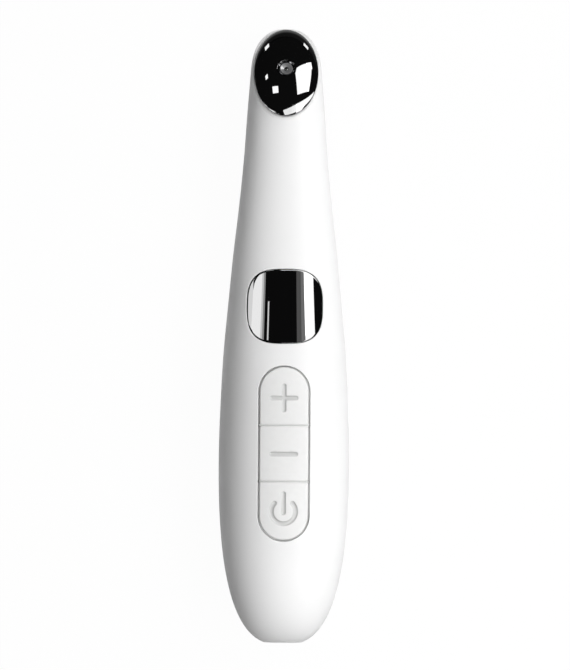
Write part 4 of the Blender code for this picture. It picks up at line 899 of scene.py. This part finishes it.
def power_arc_loop(radius):
    """A broken ring, open towards the head, with round ends."""
    start, end = math.pi / 2 + POWER_GAP, math.pi / 2 - POWER_GAP + 2 * math.pi
    ends = [POWER_RADIUS * np.array([math.cos(turn), math.sin(turn)]) for turn in (start, end)]
    outer = arc_points((0, 0), POWER_RADIUS + radius, start, end, SIGN_ARC_STEPS)
    inner = arc_points((0, 0), POWER_RADIUS - radius, end, start, SIGN_ARC_STEPS)
    far_cap = arc_points(ends[1], radius, end, end + math.pi, SIGN_ROUND_STEPS)[1:-1]
    near_cap = arc_points(ends[0], radius, start - math.pi, start, SIGN_ROUND_STEPS)[1:-1]
    return np.vstack([outer, far_cap, inner, near_cap])


def sign_loops(name, radius):
    """The strokes of a key's sign at a half stroke width."""
    arm = SIGN_ARM - SIGN_STROKE / 2
    if name == "plus":
        return [plus_loop(radius)]
    if name == "minus":
        return [bar_loop(-arm, arm, radius, (1.0, 0.0))]
    return [power_arc_loop(radius), bar_loop(POWER_BAR_NEAR, POWER_BAR_FAR, radius, (0.0, 1.0))]


def make_key(name, loop, skirt, dividers, centre):
    """A key with a rounded rim and its sign sunk into the top, the sign's walls and floor in a darker grey as
    painted shade; its skirt is raised along the dividers.
    """
    builder, sheet = Builder(), Sheet()

    def lowered(flat, drop):
        return np.column_stack([flat, front_height(flat[:, 0], flat[:, 1]) + KEY_PROUD - drop])

    drop = np.full(len(skirt), SKIRT_DROP)
    for line in dividers:
        drop[np.abs(skirt[:, 1] - line) < ON_LINE] = DIVIDER_DROP
    rows = [lowered(skirt, KEY_SIDE), lowered(skirt, drop), lowered(loop, drop)]
    for turn in fillet_turns():
        inner = offset_loop(loop, -KEY_EDGE * (1 - math.cos(turn)))
        rows.append(lowered(inner, KEY_EDGE * (1 - math.sin(turn))))
    builder.strip(rows)

    rim = offset_loop(loop, -KEY_EDGE)
    support = offset_loop(rim, -KEY_SUPPORT)
    sheet.ring(rim)
    sheet.ring(support)
    half = SIGN_STROKE / 2
    for number, edge in enumerate(sign_loops(name, half + SIGN_EDGE)):
        sheet.ring(edge + centre, hole=True)
        strokes = [(sign_loops(name, half + SIGN_EDGE * widen)[number] + centre, depth)
                   for widen, depth in SIGN_PROFILE]
        # Finish 1, the darker grey, paints shade on the groove's walls and floor
        builder.strip([lowered(stroke, SIGN_DEPTH * depth) for stroke, depth in strokes], finish=1)
        floor = sign_loops(name, half - SIGN_EDGE)[number] + centre
        flat, faces = triangulate(floor, [range(len(floor))], keep_inside=floor)
        builder.faces(lowered(flat, SIGN_DEPTH), faces, finish=1)
    low, high = rim.min(axis=0), rim.max(axis=0)
    grid = plan_grid(*(np.arange(low[axis], high[axis], KEY_GRID) for axis in (0, 1)))
    flat, faces = sheet.fill(grid, KEY_CLEARANCE, support, rim)
    builder.faces(lowered(flat, 0.0), faces)
    key = piece(name + "_key_top", builder, KEY_PLASTIC, name + "_key", [name + "_button"])
    # The second material is the painted shade of the sign grooves
    key.data.materials.append(GROOVE_SHADE_PLASTIC)


def make_keys():
    half_width = PILL_WIDTH / 2 - GAP - KEY_SHY
    end = PILL_LENGTH / 2 - GAP - KEY_SHY
    divider = MIDDLE_KEY_SHARE * PILL_LENGTH / 2
    split = KEY_SPLIT / 2
    wide = PILL_WIDTH / 2 - SKIRT_PLAY
    middle = along(PILL_PLACE)
    keys = (("plus", PLUS_SIGN_PLACE, divider, PILL_LENGTH / 2),
            ("minus", MINUS_SIGN_PLACE, -divider, divider),
            ("power", POWER_SIGN_PLACE, -PILL_LENGTH / 2, -divider))
    for name, sign_place, near, far in keys:
        near_end, far_end = near < -divider, far > divider
        loop = rounded_box(-half_width, half_width, max(near + split, -end), min(far - split, end),
                           half_width if near_end else KEY_CORNER, half_width if far_end else KEY_CORNER)
        skirt = rounded_box(-wide, wide, near + SKIRT_PLAY, far - SKIRT_PLAY,
                            wide if near_end else SKIRT_CORNER, wide if far_end else SKIRT_CORNER)
        skirt_ends = ((near + SKIRT_PLAY, near_end), (far - SKIRT_PLAY, far_end))
        dividers = [middle + edge for edge, outer in skirt_ends if not outer]
        loop, skirt = (even_steps(outline, KEY_POINTS) + (0.0, middle) for outline in (loop, skirt))
        make_key(name, loop, skirt, dividers, np.array([0.0, along(sign_place)]))


# Treatment head

def cap_size():
    """Half width and half length of the dome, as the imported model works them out."""
    half, rise, _ = section(SEAT_PLACE)
    room = half * round_off((SEAT_HEIGHT - spine(SEAT_PLACE)) / rise, SECTION_POWER)
    lean = (GAP + CAP_EDGE) * math.sin(SEAT_TILT)
    return float(room) - SEAT_RIM, (LENGTH - TIP_RIM - SEAT_PLACE - lean) / math.cos(SEAT_TILT)


CAP_HALF_WIDTH, CAP_HALF_LENGTH = cap_size()
CAP_TOP = GAP + CAP_EDGE + CAP_RISE


def cap_height(x, y):
    share = np.sqrt((x / CAP_HALF_WIDTH) ** 2 + (y / CAP_HALF_LENGTH) ** 2)
    return GAP + CAP_EDGE + CAP_RISE * (1 - np.clip(share, 0.0, 1.0) ** CAP_POWER) ** (1 / CAP_RIM_POWER)


def make_dome():
    builder = Builder()
    turns = circle_turns(CAP_POINTS)
    hole = polar(LIGHT_HOLE + HOLE_FILLET, turns)
    oval = np.stack([CAP_HALF_WIDTH * np.cos(turns), CAP_HALF_LENGTH * np.sin(turns)])
    rows = [on_seat(*polar(LIGHT_HOLE, turns), CAP_TOP - SHELL)]
    for turn in reversed(fillet_turns()):
        ring = polar(LIGHT_HOLE + HOLE_FILLET * (1 - math.sin(turn)), turns)
        rows.append(on_seat(*ring, cap_height(*ring) - HOLE_FILLET * (1 - math.cos(turn))))
    for step in range(1, CAP_ROWS + 1):
        share = math.sin(math.pi / 2 * step / CAP_ROWS) ** (2 / CAP_POWER)
        ring = hole + (oval - hole) * share
        rows.append(on_seat(*ring, cap_height(*ring)))
    for turn in fillet_turns():
        shrink = 1 - CAP_FILLET * (1 - math.cos(turn)) / CAP_HALF_WIDTH
        rows.append(on_seat(*(oval * shrink), GAP + CAP_FILLET * (1 - math.sin(turn))))
    rows.append(on_seat(*(oval * CAP_FOOT_SHARE), GAP))
    builder.strip(rows)
    piece("dome", builder, BLACK_GLOSS, "housing", ["treatment_head"])


def turned_rows(profile, count):
    """Rings of points about the middle of the seat, from radii and heights over the dome's top."""
    turns = circle_turns(count)
    return [on_seat(*polar(radius, turns), CAP_TOP + height) for radius, height in profile]


def make_light():
    """The bezel's inward slope, the lens's rim and sunk cone, and its dark core with a small bead."""
    bezel, lens, core = Builder(), Builder(), Builder()
    bezel.strip(turned_rows([
        (RING_INSIDE, -LENS_DEPTH), (RING_INSIDE, -RING_SLOPE), (RING_OUTSIDE - RING_ROUND, -RING_ROUND / 4),
        (RING_OUTSIDE, -RING_ROUND), (RING_OUTSIDE, -LENS_DEPTH)], BEZEL_POINTS))
    piece("light_bezel", bezel, STEEL, "housing", ["light_ring"], sharp=25.0)

    lens.strip(turned_rows([
        (LENS_RADIUS, -LENS_DEPTH), (LENS_RADIUS, -LENS_CROWN - LENS_ROLL),
        (LENS_RADIUS - LENS_ROLL / 3, -LENS_CROWN - LENS_ROLL / 3), (LENS_RADIUS - LENS_ROLL, -LENS_CROWN),
        (LENS_RADIUS - 2 * LENS_ROLL, -LENS_CROWN - LENS_ROLL / 3),
        (LENS_DISH, -LENS_CROWN - LENS_CONE), (LENS_DISH, -LENS_DEPTH)], LIGHT_POINTS))
    piece("light_window", lens, LENS_PLASTIC, "housing", ["light_lens"], sharp=50.0)

    low = -LENS_CROWN - LENS_CONE - LENS_ROLL
    profile = [(LENS_DISH, low), (LENS_BEAD * BEAD_RIM_SHARE, low)]
    for turn in fillet_turns(BEAD_STEPS)[:-1]:
        profile.append((LENS_BEAD * math.cos(turn), low + LENS_ROLL * math.sin(turn)))
    rows = turned_rows(profile, LIGHT_POINTS)
    core.strip(rows)
    core.fan(rows[-1], on_seat(0.0, 0.0, CAP_TOP + low + LENS_ROLL))
    piece("light_core", core, BLACK_GLASS, "housing", sharp=50.0)


# Charging socket

def socket_row(width, height, corner, place):
    loop = rounded_box(-width / 2, width / 2, -height / 2, height / 2, corner, corner)
    return np.column_stack([loop[:, 0], np.full(len(loop), along(place)), loop[:, 1] + spine(0.0)])


def make_socket():
    middle = spine(0.0)
    back = SOCKET_RECESS + SOCKET_DEPTH
    front, rear = SOCKET_RECESS + TONGUE_RECESS, back - SOCKET_WALL
    edge = SOCKET_WALL / 4
    shell = Builder()
    rows = [socket_row(SOCKET_WIDTH - 2 * inset, SOCKET_HEIGHT - 2 * inset, SOCKET_CORNER - inset, place)
            for inset, place in ((0.0, back), (0.0, SOCKET_RECESS + edge), (edge, SOCKET_RECESS),
                                 (SOCKET_WALL - edge, SOCKET_RECESS), (SOCKET_WALL, SOCKET_RECESS + edge),
                                 (SOCKET_WALL, rear))]
    shell.strip(rows)
    shell.fan(rows[-1], np.array([0.0, along(rear), middle]))
    piece("socket_shell", shell, SOCKET_STEEL, "housing", ["charging_socket"],
          outward=(0, -1, 0))

    insert = Builder()
    rows = [socket_row(TONGUE_WIDTH - 2 * inset, TONGUE_HEIGHT - 2 * inset, TONGUE_CORNER, place)
            for inset, place in ((0.0, rear), (0.0, front + TONGUE_BEVEL), (TONGUE_BEVEL, front))]
    insert.strip(rows)
    insert.fan(rows[-1], np.array([0.0, along(front), middle]))
    piece("socket_insert", insert, DARK_PLASTIC, "housing", ["socket_tongue"],
          outward=(0, -1, 0))

    contacts = Builder()
    pitch = TONGUE_WIDTH / (CONTACTS + 1)
    half = pitch * CONTACT_SHARE
    near, far = along(front + CONTACT_NEAR), along(rear - CONTACT_FAR)
    for number in range(CONTACTS):
        x = (number + 1) * pitch - TONGUE_WIDTH / 2
        for face in (-1, 1):
            level = middle + face * (TONGUE_HEIGHT / 2 + CONTACT_LIFT)
            contacts.faces([(x - half, near, level), (x + half, near, level), (x + half, far, level),
                            (x - half, far, level)], [(0, 1, 2, 3)])
    strips = piece("socket_contacts", contacts, GOLD, "housing", outward=None)
    thickness = strips.modifiers.new("thickness", "SOLIDIFY")
    thickness.thickness = CONTACT_THICKNESS
    thickness.offset = 0.0


# Stage, lamps and camera

def make_floor():
    """A plain pale floor, white to the eye and in reflections, which keeps the object's shadow."""
    mesh = bpy.data.meshes.new("floor")
    bm = bmesh.new()
    bmesh.ops.create_circle(bm, cap_ends=True, segments=64, radius=FLOOR_RADIUS)
    bm.to_mesh(mesh)
    bm.free()
    floor = bpy.data.objects.new("floor", mesh)
    floor.location.z = -FLOOR_DROP
    bpy.context.scene.collection.objects.link(floor)
    material, tree, surface = shader("floor_paper")
    link = tree.links.new
    surface.inputs["Roughness"].default_value = 0.9
    surface.inputs["Specular IOR Level"].default_value = 0.1
    link(tinted(tree, noise(tree, 60.0), (0.46, 0.46, 0.46), (0.5, 0.5, 0.5)), surface.inputs["Base Color"])
    glow = node(tree, "ShaderNodeEmission")
    glow.inputs["Color"].default_value = (1.0, 1.0, 1.0, 1.0)
    place = node(tree, "ShaderNodeTexCoord")
    distance = node(tree, "ShaderNodeVectorMath", operation="LENGTH")
    link(place.outputs["Object"], distance.inputs[0])
    path = node(tree, "ShaderNodeLightPath")
    strength = node(tree, "ShaderNodeMix")
    link(path.outputs["Is Glossy Ray"], strength.inputs["Factor"])
    for entry, reach, far_glow in (("A", 1.0, FLOOR_FAR_GLOW), ("B", GLOSS_REACH, 0.0)):
        fade = node(tree, "ShaderNodeMapRange", interpolation_type="SMOOTHSTEP")
        for key, value in (("From Min", FLOOR_BRIGHT / reach), ("From Max", FLOOR_DIM / reach),
                           ("To Min", FLOOR_GLOW), ("To Max", far_glow)):
            fade.inputs[key].default_value = value
        link(distance.outputs["Value"], fade.inputs["Value"])
        link(fade.outputs["Result"], strength.inputs[entry])
    link(strength.outputs["Result"], glow.inputs["Strength"])
    seen = node(tree, "ShaderNodeMath", operation="MAXIMUM")
    seen_too = node(tree, "ShaderNodeMath", operation="MAXIMUM")
    weight = node(tree, "ShaderNodeMath", operation="MULTIPLY")
    weight.inputs[1].default_value = FLOOR_GLOW_SHARE
    mix = node(tree, "ShaderNodeMixShader")
    output = tree.nodes["Material Output"]
    link(path.outputs["Is Camera Ray"], seen.inputs[0])
    link(path.outputs["Is Glossy Ray"], seen.inputs[1])
    link(seen.outputs[0], seen_too.inputs[0])
    link(path.outputs["Is Transmission Ray"], seen_too.inputs[1])
    link(seen_too.outputs[0], weight.inputs[0])
    link(weight.outputs[0], mix.inputs["Fac"])
    link(surface.outputs[0], mix.inputs[1])
    link(glow.outputs[0], mix.inputs[2])
    link(mix.outputs[0], output.inputs["Surface"])
    mesh.materials.append(material)


def softbox(name, spot, right, facing, size, strength):
    """A rectangular softbox at a spot, its glow given as what the eye would see of it."""
    data = bpy.data.lights.new(name, "AREA")
    data.shape = "RECTANGLE"
    data.size, data.size_y = size
    data.energy = strength * size[0] * size[1] * math.pi
    lamp = bpy.data.objects.new(name, data)
    back = -Vector(facing).normalized()
    across = (Vector(right) - back * back.dot(Vector(right))).normalized()
    turned = Matrix((across, back.cross(across), back)).transposed()
    lamp.matrix_world = Matrix.Translation(spot) @ turned.to_4x4()
    lamp.visible_camera = False
    bpy.context.scene.collection.objects.link(lamp)


def ceiling_box(name, eye, across, forward, strength, slant=0.0, height=0.6):
    """A softbox level overhead; across and forward are slopes at which an eye sees its edges."""
    (left, right), (near, far) = across, forward
    spot = Vector(eye) + Vector(((left + right) / 2, (near + far) / 2, 1.0)) * height
    softbox(name, spot, (1.0, slant, 0.0), (0.0, 0.0, -1.0), ((right - left) * height, (far - near) * height),
            strength)


def aimed_box(name, eye, toward, right, spans, strength, distance=0.7):
    """A softbox that faces an eye from a direction; its spans are angles."""
    toward = Vector(toward).normalized()
    softbox(name, Vector(eye) + toward * distance, right, -toward,
            (spans[0] * distance, spans[1] * distance), strength)


def make_lamps():
    """Softboxes placed by what mirrors them: key_ and left_ ones are seen in the dome and the window,
    crescent_ ones at the dome's foot and far_ ones near its tip, and the fills in neither."""
    window = (0.0, along(WINDOW_PLACE), 23.0 * MM)
    head = (0.0, along(SEAT_PLACE), 18.0 * MM)
    for name, toward, right, spans in (
            ("key_upper", (0.527, 0.606, 0.601), (0.73, -0.062, -0.64), (0.49, 0.49)),
            ("key_edge", (0.675, 0.575, 0.44), (0.748, -0.472, -0.461), (0.2, 0.46)),
            ("key_corner", (0.66, 0.694, 0.269), (0.562, -0.243, -0.791), (0.21, 0.11))):
        aimed_box(name, head, toward, right, spans, KEY_GLOW)
    ceiling_box("key_lower", window, (0.51, 0.98), (-0.05, 0.32), KEY_GLOW)
    ceiling_box("crescent_right", head, (0.42, 3.3), (0.34, 0.61), KEY_GLOW, slant=0.28, height=0.3)
    ceiling_box("crescent_left", head, (-0.1, 0.56), (-0.18, 0.085), 3.4, slant=0.3, height=0.1)
    ceiling_box("side_fill", (0.0, 0.0, 0.0), (0.65, 1.6), (-0.85, -0.2), 2.3)
    softbox("base_fill", (0.08, -0.14, 0.2), (1.0, 0.0, 0.0), (0.0, 0.0, -1.0), (0.18, 0.12), 4.8)
    for name, across, forward, glow, height in (
            ("key_spill", (0.25, 0.38), (0.0, 0.32), 0.3, 0.6),
            ("key_fade", (0.38, 0.51), (0.0, 0.32), 0.6, 0.6),
            ("left_fade", (-2.4, -1.3), (0.18, 0.42), 2.7, NEAR_HEIGHT),
            ("left_strip", (-1.3, -0.68), (0.08, 0.29), 3.45, NEAR_HEIGHT),
            ("left_spill", (-0.68, -0.6), (0.08, 0.29), 2.3, NEAR_HEIGHT),
            ("left_tail", (-0.6, -0.53), (0.08, 0.29), 1.0, NEAR_HEIGHT),
            ("left_line", (-0.42, -0.375), (0.1, 0.19), 2.4, NEAR_HEIGHT)):
        ceiling_box(name, window, across, forward, glow, height=height)
    aimed_box("left_upper", head, (-0.365, 0.4825, 0.79), (1.0, 0.22, 0.35), (0.21, 0.13), KEY_GLOW)
    aimed_box("left_small", head, (-0.61, 0.61, 0.51), (1.0, 0.5, 0.3), (0.09, 0.075), KEY_GLOW)
    aimed_box("far_left", (-4.9 * MM, 72.8 * MM, 14.7 * MM), (-0.52, 0.853, 0.003), (0.853, 0.52, 0.0),
              (0.127, 0.11), FAR_GLOW, distance=FAR_DISTANCE)
    aimed_box("far_right", (4.9 * MM, 73.1 * MM, 14.4 * MM), (0.518, 0.855, -0.03), (0.855, -0.518, 0.0),
              (0.143, 0.1), FAR_GLOW, distance=FAR_DISTANCE)
    world = bpy.data.worlds.new("studio")
    bpy.context.scene.world = world
    world.use_nodes = True
    background = world.node_tree.nodes["Background"]
    background.inputs["Color"].default_value = (1.0, 1.0, 1.0, 1.0)
    background.inputs["Strength"].default_value = WORLD_GLOW


def make_camera():
    data = bpy.data.cameras.new("camera")
    data.sensor_width = SENSOR_WIDTH
    data.lens = CAMERA_LENS
    data.clip_start = CLIP_START
    camera = bpy.data.objects.new("camera", data)
    camera.location = (*CAMERA_PLACE, CAMERA_LEVEL + CAMERA_HEIGHT)
    camera.rotation_euler = (0.0, 0.0, CAMERA_ROLL)
    bpy.context.scene.collection.objects.link(camera)
    bpy.context.scene.camera = camera


dress_inner_nodes()
make_front_shell()
make_rear_shell()
make_window()
make_keys()
make_dome()
make_light()
make_socket()
make_floor()
make_lamps()
make_camera()
bpy.context.scene.view_settings.view_transform = "Standard"

bpy.context.view_layer.update()
